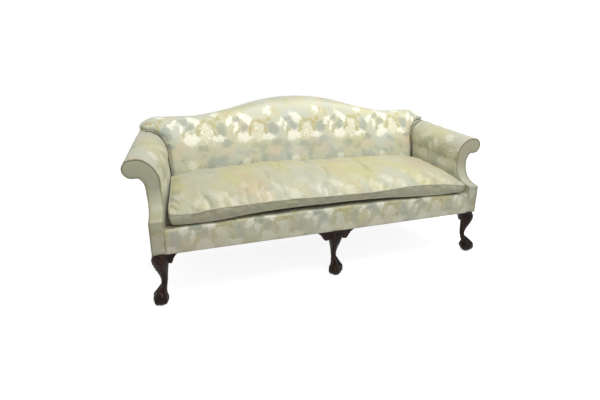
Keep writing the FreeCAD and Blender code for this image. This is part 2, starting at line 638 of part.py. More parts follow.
# Arm stuffing and the hessian that it is laid on
inner_line = f"({SEAT_IN} + cloth + stuffing)"
arm_hollow = with_arm("arm_hollow", outline("arm_hollow_outline", "XZ", [
    (inner_line, f"{BELOW} - 10"),
    (f"{SEAT_OUT} + waist_out + 8", f"{BELOW} - 10"),
    (f"{SEAT_OUT} + waist_out + 8", f"{ROLL_Z} - 64"),
    (f"{SEAT_OUT} + waist_out", f"{ROLL_Z} - 36"),
    (f"{inner_line} + 21", f"{ROLL_Z} - 36"),
    (inner_line, WAIST_Z),
]))
arm_stuffed = common("arm_stuffed", arm_lining, side_soft)
keep("right_arm_padding", cut("right_arm_padding", arm_stuffed, arm_hollow, nodes["right_arm_rail"],
                              stump_blank, side_post_whole, crest_blank, under_cover, inner_end, dowel_holes))
arm_hessian_run = with_arm("arm_hessian_run", outline("arm_hessian_outline", "XZ", [
    (inner_line, f"{WAIST_Z} - 170"),
    (f"{inner_line} + 1.5", f"{WAIST_Z} - 170"),
    (f"{inner_line} + 1.5", WAIST_Z),
    (f"{inner_line} + 22.5", f"{ROLL_Z} - 36"),
    (f"{inner_line} + 21", f"{ROLL_Z} - 36"),
    (inner_line, WAIST_Z),
]))
below_tack = box("below_tack", "0 - overall_width", "0 - overall_depth", "0", "2 * overall_width",
                 "2 * overall_depth", "deck_height + 18")
keep("right_arm_hessian", cut("right_arm_hessian",
     common("arm_hessian_zone", arm_hessian_run, side_behind_stump), behind_hessian, below_tack))


# Front legs: sections of the cabriole from the knee down, then the ball
LEG_SECTIONS = (
    ("rail_bottom - cloth - 0.5", "0", "knee_radius * 0.8"),
    ("rail_bottom * 0.88", "knee_radius * 0.2", "knee_radius"),
    ("rail_bottom * 0.73", "knee_radius * 0.15", "knee_radius * 0.78"),
    ("rail_bottom * 0.58", "0 - ankle_radius * 0.15", "ankle_radius * 1.35"),
    ("rail_bottom * 0.43", "0 - ankle_radius * 0.3", "ankle_radius"),
    ("rail_bottom * 0.34", "ankle_radius * 0.2", "ankle_radius * 1.05"),
    ("rail_bottom * 0.24", "foot_kick * 0.7", "ankle_radius * 1.7"),
)


def cabriole(name, x, diagonal):
    """Cabriole leg with its foot kicked out along the diagonal, or straight ahead."""
    lean_x = math.sqrt(0.5) if diagonal else 0
    lean_y = math.sqrt(0.5) if diagonal else 1
    sections = []
    for order, (level, kick, radius) in enumerate(LEG_SECTIONS):
        ring = doc.addObject("Part::Circle", f"{name}_section_{order}")
        bind(ring, Placement__Base__x=f"{x} + ({kick}) * {lean_x}",
             Placement__Base__y=at(f"{LEG_BACK} - ({kick}) * {lean_y}"),
             Placement__Base__z=level, Radius=radius)
        sections.append(ring)
    shaft = doc.addObject("Part::Loft", name + "_shaft")
    shaft.Sections = sections
    shaft.Solid = True
    ball = doc.addObject("Part::Sphere", name + "_ball")
    ball.Angle1 = -72
    bind(ball, Placement__Base__x=f"{x} + foot_kick * {lean_x}",
         Placement__Base__y=at(f"{LEG_BACK} - foot_kick * {lean_y}"),
         Placement__Base__z="glide_thick + ball_radius * 0.951", Radius="ball_radius")
    return shaft, ball


LEG_X = f"({SEAT_OUT} - leg_in)"
shaft, ball = cabriole("corner_leg", LEG_X, True)
corner_post = box("corner_post", POST_IN, at(CORNER_FACE), f"{SKIRT} - 0.5", "corner_size", "corner_size",
                  f"rail_height + cloth + 0.5")
corner_leg = fuse("corner_leg", corner_post, shaft, ball)
keep("right_front_leg", cut("right_front_leg", corner_leg, dowel_holes))
centre_shaft, centre_ball = cabriole("middle_leg", "0", False)
centre_pad = box("middle_leg_pad", "0 - rail_thick", at(RAIL_FACE), f"{SKIRT} - 0.5", "2 * rail_thick",
                 "1.7 * rail_thick", "cloth + 0.5")
centre_leg = fuse("middle_leg", centre_pad, centre_shaft, centre_ball)

# Bolts that hold the middle leg up to the front rail, heads sunk in the rail's top
bolts = []
bolt_holes = []
for order, place in enumerate(("0 - 18", "18")):
    depth = at(RAIL_MIDDLE)
    shank = cylinder(f"bolt_shank_{order}", place, depth, "rail_bottom - 45", "3", "rail_height + 33")
    head = cylinder(f"bolt_head_{order}", place, depth, f"{RAIL_TOP} - 12", "7", "6")
    bolts.append(fuse(f"bolt_{order}", shank, head))
    bolt_holes.append(cylinder(f"bolt_bore_{order}", place, depth, "rail_bottom - 46", "3.2",
                               "rail_height + 40"))
    bolt_holes.append(cylinder(f"bolt_sink_{order}", place, depth, f"{RAIL_TOP} - 12", "8", "20"))
keep("leg_bolts", group("leg_bolts", *bolts))
bolt_bores = fuse("bolt_bores", *bolt_holes)
keep("centre_front_leg", cut("centre_front_leg", centre_leg, bolt_bores))
keep("front_seat_rail", cut("front_seat_rail", front_rail, dowel_holes, bolt_bores))


# Knee brackets: a scrolled wing on each side of a knee, glued under the rail
def bracket_outline(name, plane, inner, outer):
    """Wing with an ogee lower edge, from the leg at inner to its tip at outer."""
    step = f"(({outer}) - ({inner}))"
    low = "(rail_bottom - bracket_drop)"
    top = "(rail_bottom)"
    return outline(name, plane, [
        (inner, top), (inner, low), (f"{inner} + {step} * 0.3", f"{low} + 6"),
        (f"{inner} + {step} * 0.6", f"{low} + bracket_drop * 0.52"),
        (f"{inner} + {step} * 0.85", f"{low} + bracket_drop * 0.62"),
        (outer, f"{low} + bracket_drop * 0.84"), (outer, top)])


KNEE_IN = f"({LEG_X} - knee_radius * 0.4)"
wing = bracket_outline("front_wing_outline", "XZ", KNEE_IN, f"{LEG_X} - knee_radius - bracket_reach * 0.72")
bind(wing, Placement__Base__y=at("panel_thick + lay_gap"))
front_wing = extrude("front_wing", wing, dy="bracket_thick")
keep("right_leg_front_bracket", cut("right_leg_front_bracket", front_wing, corner_leg))
side_wing_sketch = bracket_outline("side_wing_outline", "YZ", at(f"{LEG_BACK} + knee_radius * 0.4"),
                                   at(f"{LEG_BACK} + knee_radius + bracket_reach * 0.9"))
bind(side_wing_sketch, Placement__Base__x=f"{SEAT_OUT} - arm_taper * 110 - bracket_thick - cloth * 2")
side_wing = extrude("side_wing", side_wing_sketch, dx="bracket_thick")
keep("right_leg_side_bracket", cut("right_leg_side_bracket", side_wing, corner_leg))
middle_wing = bracket_outline("middle_wing_outline", "XZ", "knee_radius * 0.5",
                              "knee_radius + bracket_reach * 1.48")
bind(middle_wing, Placement__Base__y=at(RAIL_FACE))
centre_wing = extrude("centre_wing", middle_wing, dy="bracket_thick")
keep("centre_leg_right_bracket", cut("centre_leg_right_bracket", centre_wing, centre_leg))

# Glides under the six feet
glides = []
for name, x in (("corner", f"{LEG_X} + foot_kick * {math.sqrt(0.5)}"), ("middle", "0")):
    lean = math.sqrt(0.5) if name == "corner" else 1
    glides.append(cylinder(f"{name}_glide", x, at(f"{LEG_BACK} - foot_kick * {lean}"), "0", "glide_radius",
                           "glide_thick"))
REAR_FOOT_Y = outside_back("rail_bottom", "cloth + lay_gap + rear_foot / 2 - rear_splay")
glides.append(cylinder("rear_glide", f"{POST_X} + post_wide * 0.4", REAR_FOOT_Y, "0", "glide_radius",
                       "glide_thick"))
glides.append(cylinder("rear_middle_glide", "0", REAR_FOOT_Y, "0", "glide_radius", "glide_thick"))
glides += [mirror("corner_glide_left", glides[0]), mirror("rear_glide_left", glides[2])]
keep("floor_glides", group("floor_glides", *glides))

# Corner blocks glued inside the seat frame
front_block_sketch = outline("front_block_outline", "XY", [
    (f"{POST_IN} - 62", at(RAIL_BACK)), (POST_IN, at(RAIL_BACK)),
    (POST_IN, at(CORNER_BACK)),
    (f"{SIDE_LOW} - arm_taper * {CORNER_BACK}", at(CORNER_BACK)),
    (f"{SIDE_LOW} - arm_taper * 118", at("118"))])
bind(front_block_sketch, Placement__Base__z="rail_bottom + 12")
front_block = cut("front_corner_block",
                  extrude("front_block_blank", front_block_sketch, dz="rail_height - 24"), corner_post)
rear_block_sketch = outline("rear_block_outline", "XY", [
    (f"{POST_X} - 40", at("back_base")), (f"{POST_X} + 60", at("back_base")),
    (f"{SIDE_LOW} - arm_taper * (back_base - 140)", at("back_base - 140"))])
bind(rear_block_sketch, Placement__Base__z="rail_bottom + 12")
rear_block = cut("rear_corner_block",
                 extrude("rear_block_blank", rear_block_sketch, dz="rail_height - 24"),
                 frame_front, side_run, beyond_side)
keep("corner_blocks", group("corner_blocks", front_block, rear_block, mirror("front_block_left", front_block),
                            mirror("rear_block_left", rear_block)))

# Seat webbing under the rails, crossing under each spring
SPRING_ROWS = range(3)
SPRING_COLUMNS = (-2.5, -1.5, -0.5, 0.5, 1.5, 2.5)
lengthwise = []
crosswise = []
for row in SPRING_ROWS:
    depth = f"spring_first_y + spring_step_y * {row}"
    strap = box(f"long_strap_{row}", "0 - overall_width / 2", at(f"{depth} - webbing_wide / 2"), TOP_WEB,
                "overall_width", "webbing_wide", "webbing_thick")
    lengthwise.append(cut(f"long_web_{row}", strap, beyond_side, mirror(f"beyond_left_{row}", beyond_side)))
for order, column in enumerate(SPRING_COLUMNS):
    crosswise.append(box(f"cross_strap_{order}", f"spring_step_x * {column} - webbing_wide / 2",
                         at("cloth + 8"), LOW_WEB, "webbing_wide", "back_base - 40", "webbing_thick"))
keep("lengthwise_webbing", group("lengthwise_webbing", *lengthwise))
keep("crosswise_webbing", group("crosswise_webbing", *crosswise))
dust_sketch = outline("dust_outline", "XY", [
    (f"0 - ({SEAT_IN} + 4 - arm_taper * 128)", at("128")), (f"{SEAT_IN} + 4 - arm_taper * 128", at("128")),
    (f"{SEAT_IN} + 4 - arm_taper * (back_base - 70)", at("back_base - 70")),
    (f"0 - ({SEAT_IN} + 4 - arm_taper * (back_base - 70))", at("back_base - 70"))])
bind(dust_sketch, Placement__Base__z=f"{LOW_WEB} - 1.4")
keep("dust_cover", extrude("dust_cover", dust_sketch, dz="1.2"))

# Seat springs: one coil, copied over the crossings of the webbing
spring_low = value("rail_bottom + spring_wire + lay_gap")
spring_high = value(f"{RAIL_TOP} - spring_wire - lay_gap")
arc_count = round(value("spring_turns * spring_arcs"))


def on_coil(arcs):
    """Point on the coil after a number of its arcs."""
    turn = 2 * math.pi * arcs / value("spring_arcs")
    return Vector(value("spring_radius") * math.cos(turn), value("spring_radius") * math.sin(turn),
                  spring_low + (spring_high - spring_low) * arcs / arc_count)


coil_path = Part.Wire([Part.Arc(on_coil(i), on_coil(i + 0.5), on_coil(i + 1)).toShape()
                       for i in range(arc_count)])
start_edge = coil_path.Edges[0]
wire_section = Part.Wire([Part.makeCircle(value("spring_wire"), start_edge.valueAt(start_edge.FirstParameter),
                                          start_edge.tangentAt(start_edge.FirstParameter))])
coil = coil_path.makePipeShell([wire_section], True, False)
coils = []
for row in SPRING_ROWS:
    for column in SPRING_COLUMNS:
        copy = coil.copy()
        copy.translate(Vector(value(f"spring_step_x * {column}"),
                              value(at(f"spring_first_y + spring_step_y * {row}")), 0))
        coils.append(copy)
springs = doc.addObject("Part::Feature", "seat_springs")
springs.Shape = Part.makeCompound(coils)
keep("seat_springs", springs)

# Seat: hessian over the springs, stuffing, deck cloth, edge roll and front border
deck_sides = f"({SEAT_OUT} - 10)"
hessian_box = box("seat_hessian_blank", f"0 - {deck_sides}", at(f"{CORNER_BACK} + 2"), RAIL_TOP,
                  f"2 * {deck_sides}", "back_base", "1.5")
keep("spring_hessian", cut("spring_hessian", hessian_box, frame_front, beyond_side,
                           mirror("beyond_left_hessian", beyond_side)))
deck_front = "(cloth + lip_deep)"
deck_blank = box("deck_padding_blank", f"0 - {SEAT_OUT}", at(deck_front), f"{RAIL_TOP} + 1.5",
                 f"2 * {SEAT_OUT}", "back_base", f"deck_height - {RAIL_TOP} - 1.5 - 2")
keep("deck_padding", on_seat("deck_padding", cut("deck_padding_body", deck_blank, frame_front)))
cloth_blank = box("deck_cover_blank", f"0 - {SEAT_OUT}", at(deck_front), "deck_height - 2", f"2 * {SEAT_OUT}",
                  "back_base", "2")
keep("deck_cover", on_seat("deck_cover", cut("deck_cover_body", cloth_blank, frame_front)))
roll_box = box("edge_roll_blank", f"0 - {SEAT_OUT}", at(BEHIND_FRAME), RAIL_TOP, f"2 * {SEAT_OUT}",
               "lip_deep - lay_gap", f"deck_height - cloth - lay_gap - {RAIL_TOP}")
keep("front_edge_roll", cut("front_edge_roll", on_seat("edge_roll_body", roll_box), corner_post,
                            mirror("corner_post_left", corner_post)))
border_sketch = [(FRONT, SKIRT), (at("cloth"), SKIRT), (at("cloth"), "deck_height - cloth"),
                 (at(deck_front), "deck_height - cloth"), (at(deck_front), "deck_height"),
                 (FRONT, "deck_height")]
keep("front_border_cover", on_seat("front_border_cover", half_across("border_blank", border_sketch,
                                                                       f"0 - {SEAT_OUT}", f"2 * {SEAT_OUT}")))

# Outside back: closes the frame and the rear ends of the arms
arm_back = common("arm_back", arm_whole, arm_side("arm_back_side", "panel_thick", SKIRT, "0 - 60"))
panel_lower = box("outside_lower", f"0 - {POST_X}", FRONT, SKIRT, f"2 * {POST_X}", "2 * overall_depth",
                  f"{SHOULDER} - {SKIRT} - 50")
outside_whole = fuse("outside_whole", arm_back, mirror("arm_back_left", arm_back), back_whole, panel_lower)
outside_layer = back_layer("outside_layer", plane_out("cloth"), plane_out("0"), SKIRT)
outside_blank = common("outside_back_blank", outside_whole, outside_layer)
keep("outside_back_cover", cut("outside_back_cover", outside_blank, side_post_whole, side_post_left,
                               centre_post_whole))

# Loose cushion: boxed feather cushion, crowned, with a welt round each edge of the boxing
CUSHION_LOW = "(deck_height + lay_gap)"
CUSHION_EDGE = f"({CUSHION_LOW} + cushion_side)"
CROWN = f"({CUSHION_EDGE} + cushion_crown)"
CUSHION_FRONT = at("0 - cushion_over")
CUSHION_REAR = at("cushion_back")
REAR_HALF = "(cushion_half - cushion_taper * (cushion_back + cushion_over))"
plan = outline("cushion_plan", "XY", [
    ("0 - cushion_half", CUSHION_FRONT), ("cushion_half", CUSHION_FRONT), (REAR_HALF, CUSHION_REAR),
    (f"0 - {REAR_HALF}", CUSHION_REAR)])
bind(plan, Placement__Base__z=CUSHION_LOW)
plan_cover = inset("cushion_cover_plan", plan, "welt")
plan_core = inset("cushion_core_plan", plan, "welt + 2")
side_view = outline("cushion_side_view", "YZ", [
    (CUSHION_FRONT, CUSHION_LOW), (CUSHION_REAR, CUSHION_LOW), (CUSHION_REAR, f"{CROWN} - 40"),
    (f"{CUSHION_REAR} - 60", f"{CROWN} - 4"), (f"{CUSHION_REAR} - 160", CROWN),
    (f"{CUSHION_FRONT} + 170", f"{CROWN} - 22"), (f"{CUSHION_FRONT} + 60", f"{CUSHION_EDGE} + 42"),
    (CUSHION_FRONT, CUSHION_EDGE)])
bind(side_view, Placement__Base__x="0 - cushion_half")
front_view = outline("cushion_front_view", "XZ", [
    ("0 - cushion_half", CUSHION_LOW), ("cushion_half", CUSHION_LOW), ("cushion_half", CUSHION_EDGE),
    ("cushion_half - 90", f"{CROWN} - 42"), ("cushion_half - 300", f"{CROWN} - 10"),
    ("0", CROWN), ("300 - cushion_half", f"{CROWN} - 10"), ("90 - cushion_half", f"{CROWN} - 42"),
    ("0 - cushion_half", CUSHION_EDGE)])
bind(front_view, Placement__Base__y=CUSHION_FRONT)
cushion_whole = common("cushion_whole", extrude("cushion_plan_run", plan_cover, dz="overall_height"),
                       extrude("cushion_side_run", side_view, dx="2 * cushion_half"),
                       extrude("cushion_front_run", front_view, dy="overall_depth"))
side_core = inset("cushion_core_side", side_view, "2")
front_core = inset("cushion_core_front", front_view, "2")
keep("cushion_core", common("cushion_core", extrude("core_plan_run", plan_core, dz="overall_height"),
                            extrude("core_side_run", side_core, dx="2 * cushion_half"),
                            extrude("core_front_run", front_core, dy="overall_depth")))
keep("cushion_cover", cut("cushion_cover", cushion_whole, nodes["cushion_core"]))
welt_ring = cut("welt_ring", extrude("welt_outer", plan, dz="cushion_side"),
                extrude("welt_inner", plan_cover, dz="cushion_side"))
boxing_gap = box("boxing_gap", "0 - overall_width", "0 - overall_depth", f"{CUSHION_LOW} + 2 * welt",
                 "2 * overall_width", "2 * overall_depth", "cushion_side - 4 * welt")
keep("cushion_piping", cut("cushion_piping", welt_ring, boxing_gap))

# Left-hand pieces mirror the right-hand ones
for right_name in [name for name in nodes if "right" in name]:
    left_name = right_name.replace("right", "left")
    keep(left_name, mirror(left_name, nodes[right_name]))

doc.recompute()

# Refuse to write anything unless every object is sound
failed = [obj.Name for obj in doc.Objects if {"Invalid", "Error"} & set(obj.State)]
if failed:
    raise SystemExit("failed objects: " + ", ".join(failed))
for name, obj in nodes.items():
    if obj.Shape.isNull() or not obj.Shape.isValid() or not obj.Shape.Solids:
        raise SystemExit("bad shape: " + name)
os.makedirs("parts", exist_ok=True)
for name, obj in nodes.items():
    obj.Shape.exportStep(f"parts/{name}.step")
whole = Part.makeCompound([obj.Shape for obj in nodes.values()]).BoundBox
print(len(nodes), "sub-parts,", sum(len(obj.Shape.Solids) for obj in nodes.values()), "solids")
print("box from", [round(v, 2) for v in (whole.XMin, whole.YMin, whole.ZMin)],
      "to", [round(v, 2) for v in (whole.XMax, whole.YMax, whole.ZMax)])
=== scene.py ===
import json
from math import asin, atan2, copysign, cos, pi, sin

import bpy
import numpy as np
from mathutils import Matrix, Vector, noise
from mathutils.geometry import delaunay_2d_cdt


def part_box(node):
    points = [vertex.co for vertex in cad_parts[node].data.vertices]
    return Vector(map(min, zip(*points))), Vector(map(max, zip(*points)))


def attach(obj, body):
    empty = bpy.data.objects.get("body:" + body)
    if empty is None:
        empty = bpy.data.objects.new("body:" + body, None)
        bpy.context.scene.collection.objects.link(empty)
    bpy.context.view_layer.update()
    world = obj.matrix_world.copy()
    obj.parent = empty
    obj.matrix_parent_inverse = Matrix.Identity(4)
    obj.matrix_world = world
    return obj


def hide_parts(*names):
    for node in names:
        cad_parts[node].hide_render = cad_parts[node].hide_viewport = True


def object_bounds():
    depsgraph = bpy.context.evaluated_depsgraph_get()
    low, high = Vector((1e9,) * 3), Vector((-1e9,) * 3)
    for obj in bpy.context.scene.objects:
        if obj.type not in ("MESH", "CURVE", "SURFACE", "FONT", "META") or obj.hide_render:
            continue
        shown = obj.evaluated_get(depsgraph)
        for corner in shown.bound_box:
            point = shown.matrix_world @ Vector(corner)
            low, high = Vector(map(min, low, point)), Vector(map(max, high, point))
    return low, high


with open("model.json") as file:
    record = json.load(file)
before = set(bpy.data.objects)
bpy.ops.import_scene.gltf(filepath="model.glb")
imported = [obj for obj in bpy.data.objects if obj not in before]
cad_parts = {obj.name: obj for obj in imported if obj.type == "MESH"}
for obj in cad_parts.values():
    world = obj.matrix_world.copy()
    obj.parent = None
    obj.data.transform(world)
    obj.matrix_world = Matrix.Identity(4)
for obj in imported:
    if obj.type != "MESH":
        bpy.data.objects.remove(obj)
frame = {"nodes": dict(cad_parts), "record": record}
cad_low, cad_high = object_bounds()

# Shared sizes in metres, read from the frame where the frame holds them
BORDER_LOW, BORDER_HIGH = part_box("front_border_cover")
FRONT = BORDER_LOW.y
SKIRT = BORDER_LOW.z
DECK = BORDER_HIGH.z
TOP = cad_high.z
HALF = cad_high.x
SEAT_OUT = HALF - 0.090
SEAT_IN = SEAT_OUT - 0.065
SEAT_DEPTH = 0.461
COVER = 0.003
# Back: its rake inside and outside, its shoulders, ears and camel hump
BACK_BASE = 0.600
INSIDE_RAKE = 0.257
OUTSIDE_RAKE = (cad_high.y - FRONT - BACK_BASE) / (TOP - SKIRT)
SHOULDER = TOP - 0.108
EAR_X = HALF - 0.080
EAR_RUN = 0.125
DIP_HALF = 0.640
DIP_RADIUS = 1.9
HUMP_HALF = 0.330
HUMP_FALL = 0.046
HUMP_RADIUS = (HUMP_HALF ** 2 + HUMP_FALL ** 2) / (2 * HUMP_FALL)
# Arms: they close in and rise towards the back, and below the roll their front is swept
ARM_TAPER = 0.137
ARM_RISE = 0.155
SWEEP_DEPTH = 0.118
SWEEP_CENTRE = 0.010
ROLL_RADIUS = 0.044
ROLL_X = HALF + ARM_TAPER * SWEEP_DEPTH - ROLL_RADIUS
ROLL_Z = TOP - 0.308
WAIST_Z = ROLL_Z - 0.092
SWEEP_TOP = ROLL_Z - 0.072
BLOCK_TOP = 0.421
SIDES = ((1, "right"), (-1, "left"))


def inside_back(z):
    return FRONT + SEAT_DEPTH + (z - DECK) * INSIDE_RAKE


def outside_back(z):
    return FRONT + BACK_BASE + (z - SKIRT) * OUTSIDE_RAKE


# Lines and surfaces
def columns(*values):
    """Points from their coordinates, each an array or one number for all."""
    return np.stack(np.broadcast_arrays(*values), axis=-1)


def upright(points):
    """(x, z) points as points in space."""
    return columns(points[:, 0], 0, points[:, 1])


def looped(points):
    """A closed line, with its first point again at its end."""
    return np.vstack([points, points[:1]])


def sideways(run):
    """Directions in a plane, turned a quarter to the left."""
    return columns(-run[..., 1], run[..., 0])


def headings(points, closed=False):
    """Unit direction of a line at each of its points."""
    run = np.roll(points, -1, 0) - np.roll(points, 1, 0) if closed else np.gradient(points, axis=0)
    return run / np.linalg.norm(run, axis=1)[:, None]


def smoothed(points):
    """A line with each point but the ends drawn towards its neighbours."""
    middle = (points[:-2] + 2 * points[1:-1] + points[2:]) / 4
    return np.concatenate([points[:1], middle, points[-1:]])


def path_lengths(points):
    steps = np.linalg.norm(np.diff(points, axis=0), axis=1)
    return np.concatenate([[0], np.cumsum(steps)])


def resample(points, step):
    """Points spread evenly along a line, about a step apart."""
    along = path_lengths(points)
    count = max(int(round(along[-1] / step)) + 1, 2)
    place = np.linspace(0, along[-1], count)
    return columns(*(np.interp(place, along, values) for values in points.T))


def trace(corners, step=0.004):
    """Line through corners (x, y) or (x, y, radius of the arc to the next one)."""
    out = []
    for corner, following in zip(corners, corners[1:]):
        start, end = np.array(corner[:2]), np.array(following[:2])
        run = end - start
        chord = np.linalg.norm(run)
        if len(corner) == 2:
            out += list(np.linspace(start, end, max(int(chord / step), 1), endpoint=False))
            continue
        radius, side = abs(corner[2]), copysign(1, corner[2])
        half = asin(min(chord / 2 / radius, 1))
        centre = (start + end) / 2 + sideways(run) * side * radius * cos(half) / chord
        count = max(int(2 * half * radius / step), 2)
        angles = atan2(*(start - centre)[::-1]) + side * 2 * half * np.arange(count) / count
        out += list(centre + radius * columns(np.cos(angles), np.sin(angles)))
    return np.array([*out, end])


def to_polyline(points, line, chunk=2000):
    """Distance of each point to a line in its plane, worked out for a chunk of points at a time."""
    start = line[:-1]
    run = np.diff(line, axis=0)
    length = np.maximum((run ** 2).sum(1), 1e-12)
    best = []
    for first in range(0, len(points), chunk):
        offset = points[first:first + chunk, None, :] - start[None]
        t = np.clip((offset * run[None]).sum(2) / length[None], 0, 1)
        gap = offset - t[..., None] * run[None]
        best.append(np.sqrt((gap ** 2).sum(2)).min(1))
    return np.concatenate(best)


def panel(boundary, step):
    """Triangulated flat panel inside a closed boundary: points and faces, boundary points first."""
    low, high = boundary.min(0), boundary.max(0)
    xs = np.arange(low[0] + step / 2, high[0], step)
    ys = np.arange(low[1] + step / 2, high[1], step)
    grid = np.array([(x + (step / 2 if k % 2 else 0), y) for k, y in enumerate(ys) for x in xs])
    closed = looped(boundary)
    inside = np.zeros(len(grid), bool)
    for a, b in zip(closed, closed[1:]):
        crosses = (a[1] > grid[:, 1]) != (b[1] > grid[:, 1])
        with np.errstate(divide="ignore", invalid="ignore"):
            at = a[0] + (grid[:, 1] - a[1]) * (b[0] - a[0]) / (b[1] - a[1])
        inside ^= crosses & (grid[:, 0] < at)
    grid = grid[inside & (to_polyline(grid, closed) > step * 0.6)]
    count = len(boundary)
    points = [Vector(p) for p in (*boundary, *grid)]
    edges = [(i, (i + 1) % count) for i in range(count)]
    made = delaunay_2d_cdt(points, edges, [list(range(count))], 1, 1e-6)
    return np.array([tuple(v) for v in made[0]]), [tuple(f) for f in made[2]]


def ripple(points, scale, seed):
    """Smooth noise from -1 to 1 at each point, with wrinkles of about the given size (x, y, z)."""
    flat = np.reshape(points, (-1, 3)) / scale + (seed, 0, 0)
    return np.array([noise.noise(Vector(p)) for p in flat]).reshape(np.shape(points)[:-1])


def waves(points, layers):
    """Sum of ripples; each layer is its wrinkles' size, its seed and its height."""
    return sum(ripple(points, scale, seed) * height for scale, seed, height in layers)


def ease(low, high, x):
    """0 at low and 1 at high, smooth between; low may be the larger."""
    t = np.clip((np.asarray(x, float) - low) / (high - low), 0, 1)
    return t * t * (3 - 2 * t)


def hill(x, width):
    """1 where x is 0, falling away to both sides over about a width."""
    return np.exp(-(x / width) ** 2)


def smooth_curve(x, knots, values):
    """Smooth line through a few values."""
    x = np.clip(x, knots[0], knots[-1])
    slot = np.clip(np.searchsorted(knots, x) - 1, 0, len(knots) - 2)
    slopes = np.gradient(values, knots)
    width = knots[slot + 1] - knots[slot]
    t = (x - knots[slot]) / width
    return (values[slot] * (1 + 2 * t) * (1 - t) ** 2 + slopes[slot] * width * t * (1 - t) ** 2
            + values[slot + 1] * t * t * (3 - 2 * t) + slopes[slot + 1] * width * t * t * (t - 1))


# Meshes
def in_scene(name, data):
    """Object in the scene that holds a mesh, camera or lamp."""
    obj = bpy.data.objects.new(name, data)
    bpy.context.collection.objects.link(obj)
    return obj


def smooth_object(name, mesh):
    mesh.polygons.foreach_set("use_smooth", [True] * len(mesh.polygons))
    return in_scene(name, mesh)


def mesh_object(name, verts, faces, uvs=None):
    """Mesh object from arrays; uvs holds one (u, v) in metres for each vertex."""
    mesh = bpy.data.meshes.new(name)
    mesh.from_pydata([tuple(map(float, v)) for v in verts], [], [tuple(map(int, f)) for f in faces])
    mesh.validate()
    if uvs is not None:
        layer = mesh.uv_layers.new(name="UVMap")
        index = np.empty(len(mesh.loops), dtype=np.int32)
        mesh.loops.foreach_get("vertex_index", index)
        layer.data.foreach_set("uv", np.asarray(uvs, dtype=np.float32)[index].ravel())
    return smooth_object(name, mesh)


def read_vertices(mesh, what="co"):
    values = np.empty(len(mesh.vertices) * 3)
    mesh.vertices.foreach_get(what, values)
    return values.reshape(-1, 3)


def move_vertices(mesh, places):
    mesh.vertices.foreach_set("co", places.ravel())
    mesh.update()


def grid_faces(rows, cols, closed=False, start=0):
    """Faces of a grid of vertices, row by row; closed joins the ends of each row."""
    faces = []
    for i in range(rows - 1):
        here, above = start + i * cols, start + (i + 1) * cols
        for j in range(cols if closed else cols - 1):
            k = (j + 1) % cols
            faces.append((here + j, here + k, above + k, above + j))
    return faces


def end_caps(rows, sides):
    """Faces that close the first and the last ring of a tube of vertices."""
    last = (rows - 1) * sides
    return [tuple(range(sides))[::-1], tuple(range(last, last + sides))]


def thicken(obj, thickness=COVER):
    """Give a skin its thickness, inwards."""
    shell = obj.modifiers.new("thickness", "SOLIDIFY")
    shell.thickness = thickness
    shell.offset = -1
    return obj


def ring_angles(sides):
    """Angles of a ring's corners."""
    return 2 * pi * np.arange(sides) / sides


def tube_parts(points, radius, closed=False, sides=10):
    """Round tube along a path: points, faces, and UVs with u round it and v along it."""
    points = np.asarray(points)
    count = len(points)
    ahead = headings(points, closed)
    normal = np.cross(ahead[0], (0, 0, 1.0))
    if np.linalg.norm(normal) < 0.1:
        normal = np.cross(ahead[0], (1.0, 0, 0))
    radii = np.broadcast_to(radius, count)
    angles = ring_angles(sides)
    verts = []
    for point, run, size in zip(points, ahead, radii):
        normal = normal - run * normal.dot(run)
        normal /= np.linalg.norm(normal)
        ring = np.outer(np.cos(angles), normal) + np.outer(np.sin(angles), np.cross(run, normal))
        verts += list(point + size * ring)
    uvs = columns(np.outer(radii, angles), path_lengths(points)[:, None]).reshape(-1, 2)
    faces = grid_faces(count, sides, closed=True)
    if closed:
        last = (count - 1) * sides
        faces += [(last + k, last + (k + 1) % sides, (k + 1) % sides, k) for k in range(sides)]
    else:
        faces += end_caps(count, sides)
    return verts, faces, uvs


def tube(name, points, radius, closed=False, sides=10):
    return mesh_object(name, *tube_parts(points, radius, closed, sides))


# Material tools: sockets that add, multiply and so on, as nodes
def feed(tree, slot, value):
    """Link a wire or a socket to a node's input, or set the input to a plain value."""
    if isinstance(value, Wire):
        value = value.socket
    if isinstance(value, bpy.types.NodeSocket):
        tree.links.new(value, slot)
    else:
        slot.default_value = (*value, 1.0) if slot.type == "RGBA" else value


def add_node(tree, kind, inputs, **settings):
    """Shader node with its settings, and its inputs by name or number."""
    node = tree.nodes.new("ShaderNode" + kind)
    for name, value in settings.items():
        setattr(node, name, value)
    for name, value in inputs.items():
        feed(tree, node.inputs[name], value)
    return node


class Wire:
    """A node socket that arithmetic can be written with."""

    def __init__(self, tree, socket):
        self.tree = tree
        self.socket = socket

    def math(self, operation, *others, clamp=False):
        inputs = dict(enumerate((self, *others)))
        node = add_node(self.tree, "Math", inputs, operation=operation, use_clamp=clamp)
        return Wire(self.tree, node.outputs[0])

    def __add__(self, other):
        return self.math("ADD", other)

    def __sub__(self, other):
        return self.math("SUBTRACT", other)

    def __mul__(self, other):
        return self.math("MULTIPLY", other)

    def step(self, low, high):
        """0 below low and 1 above high, smooth between; the other way round if low is the larger."""
        flip = high < low
        inputs = {"Value": self, "From Min": min(low, high), "From Max": max(low, high),
                  "To Min": float(flip), "To Max": float(not flip)}
        node = add_node(self.tree, "MapRange", inputs, interpolation_type="SMOOTHSTEP")
        return Wire(self.tree, node.outputs["Result"])


